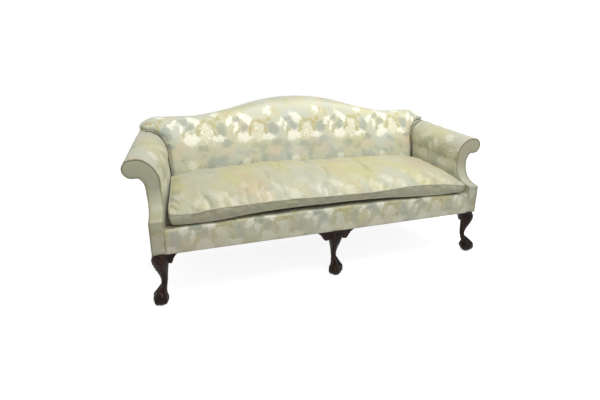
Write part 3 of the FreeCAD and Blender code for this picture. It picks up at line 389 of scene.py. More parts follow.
class Painter:
    """One material's nodes, with the fabric's UV in metres or the object's own place as its space."""

    def __init__(self, name, space="UV"):
        self.material = bpy.data.materials.new(name)
        self.material.use_nodes = True
        self.tree = self.material.node_tree
        self.space = self.node("TexCoord", {}).outputs[space]

    def node(self, kind, inputs, **settings):
        return add_node(self.tree, kind, inputs, **settings)

    def mapped(self, place=(0, 0, 0), turn=0.0, size=(1, 1, 1), source=None):
        """Space seen from a place, turned and divided by a size."""
        inputs = {"Location": place, "Rotation": (0, 0, turn), "Scale": size,
                  "Vector": source or self.space}
        return self.node("Mapping", inputs, vector_type="TEXTURE").outputs["Vector"]

    def parts(self, source):
        return [Wire(self.tree, out) for out in self.node("SeparateXYZ", {0: source}).outputs]

    def joined(self, x, y):
        return self.node("CombineXYZ", {0: x, 1: y}).outputs[0]

    def length(self, source):
        node = self.node("VectorMath", {0: source}, operation="LENGTH")
        return Wire(self.tree, node.outputs["Value"])

    def noise(self, scale, detail, roughness=0.5, source=None, distortion=0.0):
        inputs = {"Scale": scale, "Detail": detail, "Roughness": roughness, "Distortion": distortion,
                  "Vector": source or self.space}
        return Wire(self.tree, self.node("TexNoise", inputs).outputs["Fac"])

    def threads(self, scale, direction, distortion=0.0):
        inputs = {"Scale": scale, "Distortion": distortion, "Vector": self.space}
        return Wire(self.tree, self.node("TexWave", inputs, bands_direction=direction).outputs["Fac"])

    def mix(self, factor, first, second):
        """Colour between two; each colour is a tuple or a socket."""
        node = self.node("Mix", {"Factor": factor}, data_type="RGBA")
        for slot, value in zip([s for s in node.inputs if s.type == "RGBA"], (first, second)):
            feed(self.tree, slot, value)
        return next(s for s in node.outputs if s.type == "RGBA")

    def bump(self, height, distance, strength, **onto):
        inputs = {"Distance": distance, "Strength": strength, "Height": height, **onto}
        return self.node("Bump", inputs).outputs["Normal"]

    def finish(self, colour, roughness, **others):
        """The material, with what goes into each of its shader's inputs that is named."""
        shader = self.tree.nodes["Principled BSDF"]
        for name, value in {"Base_Color": colour, "Roughness": roughness, **others}.items():
            feed(self.tree, shader.inputs[name.replace("_", " ")], value)
        return self.material


def linear(*seen):
    """Colour as seen on a screen, 0 to 255, as the renderer's own numbers."""
    return tuple(((c / 255 + 0.055) / 1.055) ** 2.4 if c > 10 else c / 255 / 12.92 for c in seen)


def darker(colour, share):
    return tuple(c * share for c in colour)


# Brocade: its colours, and one repeat of it in metres from its crowned flower
SAGE = linear(206, 205, 174)
SILVER = linear(199, 202, 184)
LEAF_AND_CREST_SHADE = linear(160, 166, 142)
# leaf green; also the painted shade that greys the crest above the back's sheen band
LEAF_BLUE = linear(164, 172, 160)
# painted shade below the back's sheen band
LOW_BACK_SHADE = linear(150, 160, 146)
CREAM = linear(252, 250, 232)
OLIVE = linear(184, 172, 106)
YELLOW = linear(214, 206, 138)
ROSE = linear(214, 188, 158)
# tone for darker threads, random mottle and painted shade
MOTTLE_AND_SHADE = linear(150, 150, 126)
REPEAT_X = 0.308
ROW = 0.300
ROW_TOP = 0.130
FAN_PLACE = (0.112, 0.042, 0)
FAN_REACH = 0.082
# How soft each kind of motif is at its edge, and the place, turn and half sizes of each one
GREY_LEAVES = (0.34, ((-0.127, 0.048, 0.0, 0.024, 0.019), (-0.095, 0.009, 0.3, 0.024, 0.021),
                      (0.108, -0.084, 0.3, 0.028, 0.020), (0.084, -0.006, 0.2, 0.026, 0.040),
                      (-0.020, -0.106, -0.2, 0.034, 0.018)))
PALE_LEAVES = (0.40, ((-0.027, 0.096, 0.1, 0.056, 0.034), (-0.110, -0.140, 0.0, 0.055, 0.035)))
BLOSSOMS = (0.40, ((-0.068, 0.052, -0.7, 0.054, 0.021), (-0.088, -0.050, 0.2, 0.048, 0.032),
                   (0.060, 0.100, 0.5, 0.026, 0.024), (0.058, -0.052, 0.1, 0.040, 0.021),
                   (-0.146, 0.004, 1.3, 0.034, 0.013), (0.132, 0.036, 0.9, 0.030, 0.014)))
CROWN_LEAVES = (0.42, ((-0.040, 0.024, 0.9, 0.028, 0.010), (0.003, 0.045, 0.0, 0.032, 0.010),
                       (0.038, 0.028, -0.9, 0.028, 0.010), (-0.048, -0.016, 1.2, 0.024, 0.011),
                       (0.040, -0.020, -1.2, 0.026, 0.010), (-0.128, -0.030, 1.3, 0.028, 0.007),
                       (0.060, 0.052, 0.5, 0.016, 0.012)))
SOFT_GOLD = (0.45, ((0.030, -0.140, 0.1, 0.022, 0.036),))
SOFT_ROSE = (0.50, ((0.104, -0.132, 0.0, 0.056, 0.040), (-0.052, -0.150, 0.2, 0.036, 0.024)))


def brocade(name, shift, warm=0.0, pattern=0.84, fade=None, ground_shift=(0.0, 0.0), shade=0.0,
            dull=0.0, follow=0.0, boxing=None, streak=(0.0, 1.0, 1.0)):
    """Silk floral brocade laid out in UV metres: matt woven leaves and fans on a satin ground.

    pattern is the motifs' strength. fade holds the heights between which they come and go, and
    their strength outside them; on the back, the seat's front edge and the border's lip this band
    of strong motifs is a painted satin sheen. dull greys the cloth below the band, and less above
    it, as painted shade, and follow lifts those heights in the middle. boxing is a height and how
    much darker the cloth is below it, painted shade under the cushion's overhang. shade darkens
    the whole cloth as painted shade. streak turns and stretches the ground's patches."""
    p = Painter(name)
    u, v, _ = p.parts(p.mapped((*shift, 0)))
    plain_u, plain_v, _ = p.parts(p.space)
    height = plain_v - plain_u.math("ABSOLUTE").step(0.66, 0.12) * follow
    # a wander of a few centimetres bends each motif, and a fine one frays its edge
    bend_u = p.noise(17.0, 2.0)
    bend_v = p.noise(19.0, 2.0, source=p.mapped((3.0, 7.0, 0)))
    fray = p.noise(340.0, 1.0)
    lobe_u = p.noise(62.0, 1.0, source=p.mapped((1.0, 0.0, 0)))
    lobe_v = p.noise(66.0, 1.0, source=p.mapped((0.0, 5.0, 0)))
    u = u + (bend_u - 0.5) * 0.050 + (lobe_u - 0.5) * 0.034 + (fray - 0.5) * 0.006
    v = v + (bend_v - 0.5) * 0.050 + (lobe_v - 0.5) * 0.034
    # every second row stands half a repeat to the side
    row = ((v - ROW_TOP) * (1 / ROW)).math("FLOOR")
    u = u + (row + 1.0).math("MODULO", 2.0).math("ABSOLUTE") * (REPEAT_X / 2)
    u = u.math("WRAP", REPEAT_X / 2, -REPEAT_X / 2)
    v = v.math("WRAP", ROW_TOP, ROW_TOP - ROW)
    tile = p.joined(u, v)

    def oval(place, turn, wide, high):
        return p.length(p.mapped(place, turn, (wide, high, 1), tile))

    def any_of(soft, shapes):
        mask = None
        for x, y, turn, wide, high in shapes:
            one = oval((x, y, 0), turn, wide, high).step(1 + soft, 1 - soft)
            mask = one if mask is None else mask.math("MAXIMUM", one)
        return mask

    grey, pale, white, gold, soft_gold, rose = (
        any_of(*kind) for kind in (GREY_LEAVES, PALE_LEAVES, BLOSSOMS, CROWN_LEAVES, SOFT_GOLD, SOFT_ROSE))
    # ribbed cup under the crown, and a fan whose ribs spread upwards
    cup = oval((-0.004, -0.022, 0), 0.0, 0.030, 0.054).step(1.2, 0.8)
    cup_ribs = (u * 560.0).math("SINE").step(-0.3, 0.5)
    a, b, _ = p.parts(p.mapped(FAN_PLACE, source=tile))
    rib_angle = a.math("ARCTAN2", b)
    reach = oval(FAN_PLACE, 0.0, FAN_REACH, FAN_REACH)
    scallop = (rib_angle * 9.0).math("COSINE") * 0.07 + 0.92
    fan = (scallop - reach).step(-0.05, 0.08) * reach.step(0.18, 0.34)
    fan = fan * rib_angle.math("ABSOLUTE").step(0.66, 0.48)
    ribs = (rib_angle * 34.0).math("SINE").step(0.0, 0.7)

    def patches(scale, detail, place):
        turn, wide, high = streak
        return p.noise(scale, detail, source=p.mapped(place, turn, (wide, high, 1)))

    broad = patches(3.4, 2.0, (0, 0, 0))
    cool = patches(4.7, 2.0, (4.0 + ground_shift[0], 2.0 + ground_shift[1], 0))
    pink = patches(4.1, 1.0, (9.0 + ground_shift[0], 5.0, 0))
    ground = p.mix(cool.step(0.42, 0.60), SAGE, SILVER)
    ground = p.mix(broad.step(0.44, 0.62) * (0.30 + 0.70 * warm), ground, YELLOW)
    ground = p.mix(pink.step(0.54, 0.70) * (0.40 + 0.25 * warm), ground, ROSE)
    leaf_tone = p.mix(cool.step(0.42, 0.58), LEAF_AND_CREST_SHADE, LEAF_BLUE)
    if fade is None:
        strength = p.noise(2.3, 1.0).step(0.30, 0.62) * (0.45 * pattern) + 0.55 * pattern
        colour = ground
    else:
        rise_low, rise_high, fall_low, fall_high, rest = fade
        # the motifs stand out between these heights: a painted satin sheen on the back, the seat's front
        # edge and the border's lip
        shown = height.step(rise_low, rise_high) * height.step(fall_high, fall_low)
        strength = shown * (pattern - rest) + rest
        # painted shade where dull is set: mottled grey below the band, and an even greying above it
        clumps = p.noise(13.0, 2.0, source=p.mapped((2.0, 6.0, 0))).step(0.42, 0.62)
        shade_below_band = height.step(rise_high, rise_low) * (clumps + 0.30) * dull
        colour = p.mix(shade_below_band, ground, LOW_BACK_SHADE)
        colour = p.mix(height.step(fall_low, fall_high) * dull * 0.75, colour, LEAF_AND_CREST_SHADE)
    for mask, cover, tone in (
            (rose, 0.6, ROSE), (pale, 0.75, SILVER), (white, 1.0, CREAM), (grey, 0.90, leaf_tone),
            (soft_gold, 0.6, OLIVE), (cup, 0.9, CREAM), (cup * cup_ribs, 0.75, OLIVE), (fan, 0.80, OLIVE),
            (fan * ribs, 0.75, CREAM), (gold, 0.85, OLIVE)):
        colour = p.mix(mask * strength * cover, colour, tone)
    matt = grey.math("MAXIMUM", gold).math("MAXIMUM", fan)
    weave = p.threads(420.0, "X") * 0.5 + p.threads(300.0, "Y") * 0.5
    darkening = p.noise(60.0, 3.0)
    # darker threads and random mottle, with shade as painted shade over the whole cloth
    mottle_and_painted_shade = weave * 0.10 + darkening * 0.06 + shade
    # painted shade below a height, on the cushion's boxing under its overhang
    if boxing is not None:
        edge, darkness = boxing
        mottle_and_painted_shade = mottle_and_painted_shade + plain_v.step(edge + 0.010, edge - 0.010) * darkness
    colour = p.mix(mottle_and_painted_shade.math("MINIMUM", 1.0), colour, MOTTLE_AND_SHADE)
    normal = p.bump(weave * 0.15 + p.noise(34.0, 3.0), 0.0016, 0.45)
    roughness = matt * strength * 0.25 + darkening * 0.10 + 0.34
    return p.finish(colour, roughness, Normal=normal, Sheen_Weight=0.20, Sheen_Roughness=0.4,
                    Specular_IOR_Level=0.55, Sheen_Tint=(0.95, 0.96, 0.90))


def wood(name, deep, light, gloss, scale=1.0, darkening=1.0, edge_highlight=0.3):
    """Polished wood: long grain, with painted shade in its hollows and a painted highlight on its convex
    edges.
    """
    p = Painter(name, "Object")
    grain = p.noise(14.0 * scale, 6.0, 0.62, p.mapped(size=(1, 1, 7.0)), 0.6)
    fine = p.noise(120.0 * scale, 3.0, 0.6, p.mapped(size=(1, 1, 9.0)))
    patches = p.noise(9.0, 3.0)
    edge = Wire(p.tree, p.node("NewGeometry", {}).outputs["Pointiness"])
    colour = p.mix(grain.step(0.35, 0.68), deep, light)
    colour = p.mix(fine.step(0.45, 0.75) * 0.35, colour, darker(deep, 0.5))
    # painted highlight, lighter on convex edges
    painted_highlight = tuple(min(c * 2.6 + 0.035, 1) for c in light)
    colour = p.mix(edge.step(0.505, 0.60) * edge_highlight, colour, painted_highlight)
    # painted shade, darker in the hollows
    colour = p.mix(edge.step(0.50, 0.42) * (0.8 * darkening), colour, darker(deep, 0.25))
    normal = p.bump(patches, 0.0015, 0.25, Normal=p.bump(fine, 0.0003, 0.4))
    return p.finish(colour, patches * 0.22 + gloss, Normal=normal, Specular_IOR_Level=0.13)


def cloth(name, colour, thread, contrast=0.35):
    """Plain woven cloth with visible threads of a given count per metre."""
    p = Painter(name, "Object")
    warp, weft, level = (p.threads(thread, direction, 0.4) for direction in "XYZ")
    weave = warp * weft * 0.6 + level * 0.4
    slub = p.noise(thread * 0.2, 3.0)
    hollow = (weave * contrast).math("ADD", slub * 0.2, clamp=True)
    tone = p.mix(hollow, colour, darker(colour, 0.5))
    return p.finish(tone, 0.85, Normal=p.bump(weave, 0.0006, 0.6), Sheen_Weight=0.15)


def metal(name, colour, rough):
    """Bare metal, lightly streaked."""
    p = Painter(name, "Object")
    streaks = p.noise(300.0, 2.0)
    tone = p.mix(streaks, colour, darker(colour, 0.7))
    return p.finish(tone, streaks * 0.2 + rough, Normal=p.bump(streaks, 0.0001, 0.3), Metallic=1.0)


# Looks; a fade's heights are the fabric's own, in metres
# shade in these calls is painted shade over a part's whole cloth, so darker parts are shaded copies of one
# brocade; the back's strong motifs under the crest are a painted satin sheen
BACK_CLOTH = brocade("brocade_back", (0.040, 0.771), fade=(0.61, 0.69, 0.850, 0.885, 0.46), dull=0.55,
                     follow=0.040)
# the seat's strong motifs at its front edge are a painted satin sheen, and its boxing is darkened as
# painted shade
SEAT_CLOTH = brocade("brocade_seat", (0.09, -0.345), warm=0.9, pattern=0.42, ground_shift=(1.0, 0.5),
                     fade=(-0.60, -0.55, -0.31, -0.20, 0.14), shade=0.38, boxing=(-0.415, 0.28),
                     streak=(0.6, 0.7, 1.7))
ARM_CLOTH = brocade("brocade_arm", (0.17, 0.575), warm=0.2, shade=0.37)
PANEL_CLOTH = brocade("brocade_panel", (0.02, 0.330), warm=0.3, pattern=0.80,
                      fade=(0.10, 0.12, 0.405, 0.425, 0.14), shade=0.62)
# the border's strong motifs and cream blossoms along its lip are painted highlights
BORDER_CLOTH = brocade("brocade_border", (0.02, 0.330), warm=0.3, pattern=0.90,
                       fade=(0.325, 0.375, 0.460, 0.480, 0.50), shade=0.26)
# dark cloth put in the seam where an arm meets the back, as painted shadow
SEAM_SHADOW_CLOTH = cloth("seam_shadow_cloth", linear(44, 44, 28), 700.0)
PIPING_CLOTH = brocade("brocade_piping", (0.20, 0.0), pattern=0.0, shade=0.62)
PANEL_PIPING = cloth("panel_piping", linear(164, 162, 130), 900.0)
MAHOGANY = wood("mahogany", linear(8, 5, 5), linear(60, 39, 29), 0.16, edge_highlight=0.7)
CAD_LOOKS = {
    "mahogany": MAHOGANY,
    "stained_frame": wood("stained_hardwood", linear(62, 38, 26), linear(104, 66, 44), 0.35),
    "frame_wood": wood("planed_beech", linear(186, 150, 108), linear(214, 180, 136), 0.55, 0.7, 0.3),
    "deck_cloth": cloth("deck_cloth", linear(142, 140, 118), 900.0),
    "dust_cloth": cloth("bottoming_cloth", linear(54, 52, 50), 700.0),
    "hessian": cloth("jute_hessian", linear(186, 160, 116), 420.0, 0.6),
    "webbing": cloth("jute_webbing", linear(176, 150, 108), 360.0, 0.6),
    "feather_fill": cloth("feather_ticking", linear(232, 228, 214), 800.0),
    "hair_stuffing": cloth("hair_stuffing", linear(120, 106, 90), 260.0, 0.5),
    "spring_steel": metal("spring_steel", linear(150, 120, 96), 0.35),
    "bolt_steel": metal("bolt_steel", linear(150, 150, 150), 0.35),
    "glide_steel": metal("glide_steel", linear(168, 168, 166), 0.30),
    "brocade": BACK_CLOTH,
    "piping": PIPING_CLOTH,
}
slots = {entry["node"]: entry["material_slot"] for entry in frame["record"]["subparts"]}
for node, obj in frame["nodes"].items():
    obj.data.materials.clear()
    obj.data.materials.append(CAD_LOOKS[slots[node]])


def dress(obj, material, replaces=(), body="frame"):
    """Give a piece its material and body, and hide the CAD nodes that it stands for."""
    obj.data.materials.clear()
    obj.data.materials.append(material)
    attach(obj, body)
    if replaces:
        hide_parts(*replaces)


# Waves of the tight covers: size (x, y, z), seed and height
PANEL_WAVES = (((0.05, 1, 0.07), 21.0, 0.0007),)
BACK_WAVES = (((0.16, 1, 0.10), 31.0, 0.0025), ((0.05, 1, 0.22), 37.0, 0.0010))
BAND_WAVES = (((0.07, 0.05, 0.07), 41.0, 0.0012),)
OUTSIDE_WAVES = (((0.3, 1, 0.2), 51.0, 0.0012),)
BORDER_WAVES = (((0.11, 1, 0.05), 61.0, 0.0020), ((0.035, 1, 0.12), 67.0, 0.0008))

# Arms: the scroll seen from the front, from the tuck beside the cushion over the roll to the rail
SCROLL_FOOT = -0.020
SCROLL_STEP = 0.006
ROUNDS = 60
GROOVE = 0.010
GROOVE_DEPTH = 0.013
TUCKED_IN = 0.012
PANEL_GAP = 0.0055
ARM_COLUMNS = 64
ARM_PUFF = 0.007
GATHER_PITCH = 0.021
PIPING_RADIUS = 0.0019
PANEL_INSET = 0.0012
PANEL_BOARD = 0.006
ARM_SEEDS = {1: 3.0, -1: 11.0}


def arm_scroll():
    return trace([
        (SEAT_IN + 0.003, SCROLL_FOOT), (SEAT_IN, BLOCK_TOP), (SEAT_IN + 0.012, WAIST_Z, -0.120),
        (ROLL_X - 0.027, ROLL_Z + ROLL_RADIUS + 0.001), (ROLL_X, ROLL_Z + ROLL_RADIUS, -ROLL_RADIUS),
        (ROLL_X + ROLL_RADIUS, ROLL_Z, -ROLL_RADIUS), (ROLL_X, ROLL_Z - ROLL_RADIUS),
        (ROLL_X - 0.022, ROLL_Z - 0.043, 0.060), (SEAT_OUT + 0.014, WAIST_Z),
        (SEAT_OUT + 0.011, WAIST_Z - 0.032), (SEAT_OUT, BLOCK_TOP), (SEAT_OUT, SCROLL_FOOT)])


SCROLL = resample(arm_scroll(), SCROLL_STEP)
SCROLL_ALONG = path_lengths(SCROLL)
CROWN = int(np.argmax(SCROLL[:, 1]))


def sweep_front(z):
    """How far the arm's front lies behind the rail's face at a height."""
    reach = SWEEP_DEPTH + SWEEP_CENTRE
    below = np.clip(SWEEP_TOP - z, 0, reach)
    curve = np.sqrt(np.maximum(reach ** 2 - below ** 2, 0)) - SWEEP_CENTRE
    return np.where(z >= SWEEP_TOP, SWEEP_DEPTH, np.maximum(curve, 0))


def scroll_at(depth):
    """The scroll in (x, z), carried back along the arm by a depth for each of its points."""
    return columns(SCROLL[:, 0] - ARM_TAPER * depth, SCROLL[:, 1] + ARM_RISE * depth)


def scroll_depth(surface):
    """Depth at which each point of the scroll meets a surface, given as y over z."""
    depth = np.zeros(len(SCROLL))
    for _ in range(ROUNDS):
        depth = 0.5 * depth + 0.5 * (surface(scroll_at(depth)[:, 1]) - FRONT)
    return depth


FRONTS = scroll_depth(lambda z: FRONT + sweep_front(z))
ARM_SECTION = scroll_at(scroll_depth(inside_back))


def arm_cover(side, name):
    """Inside and outside arm cloth, one skin from the seat over the roll to the seat rail."""
    along = SCROLL_ALONG
    crown = along[CROWN]
    at_back = scroll_depth(inside_back)
    outside = ease(CROWN - 12, CROWN + 2, np.arange(len(along)))
    rear = (at_back + TUCKED_IN) * (1 - outside) + scroll_depth(lambda z: outside_back(z) - COVER) * outside
    start = FRONTS + PANEL_GAP
    step = np.linspace(0, 1, ARM_COLUMNS) ** 1.15
    depth = start[:, None] + (rear - start)[:, None] * step
    px = SCROLL[:, :1] - ARM_TAPER * depth
    pz = SCROLL[:, 1:] + ARM_RISE * depth
    # the inside is puffed up, the roll is creased and gathered, and a groove runs along the back
    on_inside = ease(0.30, 0.50, along) * ease(crown + 0.02, crown - 0.10, along)
    on_roll = ease(crown - 0.06, crown + 0.01, along) * ease(crown + 0.20, crown + 0.12, along)
    on_roll = on_roll[:, None]
    place = columns(px, depth, pz)
    crease = ripple(place, (0.10, 0.021, 0.10), ARM_SEEDS[side] + 5)
    gather = np.sin(along * 2 * pi / GATHER_PITCH)[:, None] * hill(depth - FRONTS[:, None], 0.030)
    swell = on_inside[:, None] * ARM_PUFF * np.sin(pi * step)
    swell = swell + ripple(place, (0.09, 0.16, 0.09), ARM_SEEDS[side]) * 0.0022
    swell = swell + crease * (0.0006 + 0.0032 * on_roll) + gather * 0.0009 * on_roll
    swell = swell - GROOVE_DEPTH * hill(depth - at_back[:, None], GROOVE) * (1 - outside)[:, None]
    out = sideways(headings(SCROLL))
    px = px + out[:, :1] * swell
    pz = pz + out[:, 1:] * swell
    height = pz.ravel()
    faces = [face[::-1] if side > 0 else face for face in grid_faces(len(along), ARM_COLUMNS)
             if height[list(face)].max() > SKIRT + 0.0005]
    verts = columns(px * side, FRONT + depth, np.maximum(pz, SKIRT)).reshape(-1, 3)
    return thicken(mesh_object(name, verts, faces, columns(depth, along[:, None]).reshape(-1, 2)))


def facing(side, name):
    """Flat panel on the arm's front with its board, cut to the scroll, and the line round it."""
    line = scroll_at(FRONTS)
    line = line[line[:, 1] > SKIRT - 0.004]
    line[:, 1] = np.maximum(line[:, 1], SKIRT)
    border = resample(looped(line), SCROLL_STEP)[:-1]
    # the panel stops short of the line, under the piping
    points, faces = panel(border - sideways(headings(border, closed=True)) * PANEL_INSET, 0.007)
    x, z = points.T
    puff = 0.0035 * (1 - np.exp(-to_polyline(points, looped(border)) / 0.008))
    y = FRONT + sweep_front(z) + 0.002 - puff + waves(upright(points), PANEL_WAVES)
    faces = [face if side > 0 else face[::-1] for face in faces]
    uvs = columns(x * side, z + sweep_front(z) * 0.6)
    return thicken(mesh_object(name, columns(x * side, y, z), faces, uvs), PANEL_BOARD), line


def facing_piping(side, name, line):
    """Piping round the panel from the deck over the roll and down the outside."""
    shown = line[(line[:, 1] > DECK + 0.004) | (line[:, 0] > (SEAT_IN + SEAT_OUT) / 2)]
    path = resample(shown, 0.007)
    x, z = (path - sideways(headings(path)) * 0.0016).T
    return tube(name, columns(x * side, FRONT + sweep_front(z) - 0.0003, z), PIPING_RADIUS)


for side, word in SIDES:
    dress(arm_cover(side, f"{word}_arm_upholstery"), ARM_CLOTH,
          (f"{word}_inside_arm_cover", f"{word}_outside_arm_cover", f"{word}_arm_padding"))
    face, outline = facing(side, f"{word}_arm_panel")
    dress(face, PANEL_CLOTH, (f"{word}_arm_facing",))
    piping = facing_piping(side, f"{word}_arm_panel_piping", outline)
    dress(piping, PANEL_PIPING, (f"{word}_arm_piping",))


# Back: camel outline, inflated inside face, rolled edge and a flat outside panel
TUCK = SEAT_IN - ARM_TAPER * (BACK_BASE - 0.040) + 0.032
EDGE_ROUND = 0.042
LEAN_BACK = 0.150
LEAN_DEPTH = 0.014
CREST_DROP = 0.006
BAND_ROWS = 10
EAR_FOOT = (TUCK + 0.055, ROLL_Z + 0.078)
# the back's edge beside the right arm, from the deck up to under the ear
BACK_SIDE = ((TUCK, DECK - 0.004), (TUCK, ROLL_Z - 0.032), (TUCK + 0.020, ROLL_Z + 0.018), EAR_FOOT)


def mirrored(line):
    """The mirror image of a line on the right, run the other way."""
    return (np.asarray(line) * (-1, 1))[::-1]


def crest_line():
    """The back's edge from under one ear over the hump to under the other."""
    half = trace([
        EAR_FOOT, (TUCK + 0.085, ROLL_Z + 0.113), (EAR_X - 0.003, SHOULDER - 0.062),
        (EAR_X, SHOULDER - 0.042, 0.060), (EAR_X - 0.028, SHOULDER - 0.019, 0.150),
        (EAR_X - EAR_RUN, SHOULDER), (DIP_HALF, SHOULDER, -DIP_RADIUS),
        (HUMP_HALF, TOP - HUMP_FALL, HUMP_RADIUS), (0.0, TOP)])
    crest = resample(np.vstack([half, mirrored(half)[1:]]) - (0, CREST_DROP), 0.009)
    return smoothed(smoothed(crest))


def back_upholstery():
    """Inside back cloth, rounded over the crest and carried to the outside back."""
    crest = crest_line()
    count = len(crest)
    sides = trace([*mirrored(BACK_SIDE), *BACK_SIDE], 0.012)
    points, faces = panel(np.vstack([crest, sides[1:-1]]), 0.0125)
    x, z = points.T
    gap = to_polyline(points, crest)
    near = np.clip(EDGE_ROUND - gap, 0, EDGE_ROUND)
    rounding = EDGE_ROUND - np.sqrt(np.maximum(EDGE_ROUND ** 2 - near ** 2, 0))
    rounding += LEAN_DEPTH * ease(LEAN_BACK, 0.0, gap) ** 2
    fullness = 0.010 * ease(0.0, 0.16, gap) * ease(DECK, DECK + 0.2, z)
    groove = 0.022 * hill(to_polyline(np.abs(points), ARM_SECTION), GROOVE)
    y = inside_back(z) + rounding - fullness + groove
    y = y + waves(upright(points), BACK_WAVES) * ease(0.0, 0.05, gap)
    y[:count] = inside_back(crest[:, 1]) + EDGE_ROUND + LEAN_DEPTH
    extra = EDGE_ROUND * np.arcsin(np.clip(near / EDGE_ROUND, 0, 1)) - near
    verts, uvs = [columns(x, y, z)], [columns(x, z * 1.03 + extra)]
    rings = [0] + [len(points) + k * count for k in range(BAND_ROWS)]
    # band from the rounded front edge over the top to the outside back
    out = -sideways(headings(crest))
    start, rear = y[:count], outside_back(crest[:, 1]) - 0.002
    for t in np.arange(1, BAND_ROWS + 1) / BAND_ROWS:
        band_y = start + (rear - start) * t
        swell = 0.0020 * sin(pi * min(t * 1.15, 1)) - 0.004 * max(t - 0.85, 0) / 0.15
        swell = swell + waves(columns(crest[:, 0], band_y, crest[:, 1]), BAND_WAVES)
        band_x, band_z = (crest + out * swell[:, None]).T
        verts.append(columns(band_x, band_y, band_z))
        uvs.append(columns(crest[:, 0], uvs[0][:count, 1] + (band_y - start)))
    for near_ring, far_ring in zip(rings, rings[1:]):
        faces += [(near_ring + j, far_ring + j, far_ring + j + 1, near_ring + j + 1)
                  for j in range(count - 1)]
    return thicken(mesh_object("inside_back_upholstery", np.vstack(verts), faces, np.vstack(uvs)))


def outside_panel():
    """Outside back cloth over the frame and the rear ends of the arms."""
    outer = scroll_at(scroll_depth(outside_back))[CROWN:][::-1]
    outer = outer[outer[:, 1] > SKIRT]
    top = np.argmax(outer[:, 0] > EAR_X - 0.002)
    outer = outer[:top + 1] if top > 0 else outer
    right = np.vstack([[(outer[0, 0], SKIRT)], outer])
    crest = crest_line()
    ear = int(np.argmax(crest[:len(crest) // 2, 0] > EAR_X - 0.006))
    border = np.vstack([right, crest[ear:len(crest) - ear], mirrored(right)])
    border = resample(looped(border), 0.012)[:-1]
    points, faces = panel(border, 0.022)
    inset = 0.003 * (1 - np.exp(-to_polyline(points, looped(border)) / 0.006))
    y = outside_back(points[:, 1]) - COVER + inset + waves(upright(points), OUTSIDE_WAVES)
    verts = columns(points[:, 0], y, points[:, 1])
    return thicken(mesh_object("outside_back_panel", verts, [f[::-1] for f in faces], points * (1, 1.02)))


def back_seam_shadow(side, name):
    """Dark tube along the line where an arm meets the back, painted shadow of the gap there."""
    line = ARM_SECTION[:CROWN + 4]
    x, z = resample(line[line[:, 1] > DECK + 0.004], 0.008).T
    radius = 0.0019 + 0.0034 * ease(ROLL_Z, DECK + 0.08, z)
    return tube(name, columns(x * side, inside_back(z) - 0.0005, z), radius, sides=8)


for side, word in SIDES:
    dress(back_seam_shadow(side, f"{word}_back_seam_shadow"), SEAM_SHADOW_CLOTH)
dress(back_upholstery(), BACK_CLOTH, ("inside_back_cover", "inside_back_padding"))
dress(outside_panel(), BACK_CLOTH, ("outside_back_cover",))

# Front border: cloth drawn over the edge roll and down the rail
BORDER_HALF = SEAT_IN + 0.0035
BORDER_COLUMNS = 190
BORDER_FACE = FRONT + 0.001
LIP_RADIUS = 0.016
LIP_SAG = 0.013


def front_border():
    xs = np.linspace(-BORDER_HALF, BORDER_HALF, BORDER_COLUMNS)
    lip = DECK - 0.001 - LIP_SAG * np.abs(xs / BORDER_HALF) ** 2.5 + 0.0015 * np.sin(xs * 23.0)
    bend = lip - LIP_RADIUS
    rows, uvs = [], []
    for t in np.linspace(0, 1, 22):
        z = SKIRT + (bend - SKIRT) * t
        rows.append(columns(xs, BORDER_FACE - 0.0035 * sin(pi * t), z))
        uvs.append(columns(xs, z))
    for angle in np.linspace(0.1, 1, 10) * pi / 2:
        y = BORDER_FACE + LIP_RADIUS * (1 - cos(angle))
        rows.append(columns(xs, y, bend + LIP_RADIUS * sin(angle)))
        uvs.append(columns(xs, bend + LIP_RADIUS * angle))
    rows.append(columns(xs, FRONT + 0.056, np.minimum(lip, DECK)))
    uvs.append(columns(xs, lip + 0.05))
    verts = np.vstack(rows)
    verts[:, 1] += waves(verts, BORDER_WAVES) * ease(SKIRT + 0.004, SKIRT + 0.03, verts[:, 2])
    return thicken(mesh_object("front_border", verts, grid_faces(len(rows), len(xs)), np.vstack(uvs)))


dress(front_border(), BORDER_CLOTH, ("front_border_cover", "front_edge_roll"))

# Cabriole legs: one carved piece each, with claw, ball and knee brackets
LEG_X = SEAT_OUT - 0.039
LEG_DEPTH = 0.028
FOOT_KICK = 0.027
BALL_Z = BALL_RADIUS = 0.0365
GLIDE = 0.0032
ANKLE_Z = 0.092
# height, forward kick and radius of the leg from the ball to the rail
LEG_Z = np.array([0.050, 0.0624, 0.0760, 0.0884, 0.1118, 0.1508, 0.1898, 0.2288, 0.2572])
LEG_KICK = np.array([0.0245, 0.0189, 0.0105, 0.0030, -0.0045, -0.0023, 0.0056, 0.0074, 0.0020])
LEG_RADIUS = np.array([0.0275, 0.0235, 0.0180, 0.0150, 0.0142, 0.0198, 0.0298, 0.0375, 0.0330])
# each toe's turn from straight ahead, and how far round the ball it reaches
TOES = ((0.0, 0.80), (1.45, 0.80), (-1.45, 0.80), (pi, 0.62))
TOE_RADIUS = 0.0078
TOE_TOP = 0.35
# place along the toe, width and height of each knuckle
KNUCKLES = ((0.36, 0.07, 0.0017), (0.66, 0.06, 0.0014))
# knee bracket's lower edge, from the leg out to its tip: share of its reach and height
WING_EDGE = ((0.0, 0.192), (0.10, 0.203), (0.22, 0.211), (0.33, 0.2085), (0.43, 0.2045),
             (0.54, 0.2075), (0.63, 0.219), (0.70, 0.231), (0.80, 0.241), (0.91, 0.2475),
             (1.0, 0.2530), (1.0, 0.2572))
# the carved scroll on each bracket: share of its reach, height and pitch
SCROLL_EYE = 0.46
SCROLL_EYE_Z = 0.2265
SCROLL_PITCH = 0.0098
CARVING = 0.0011
SKIN_CELL = 0.0019


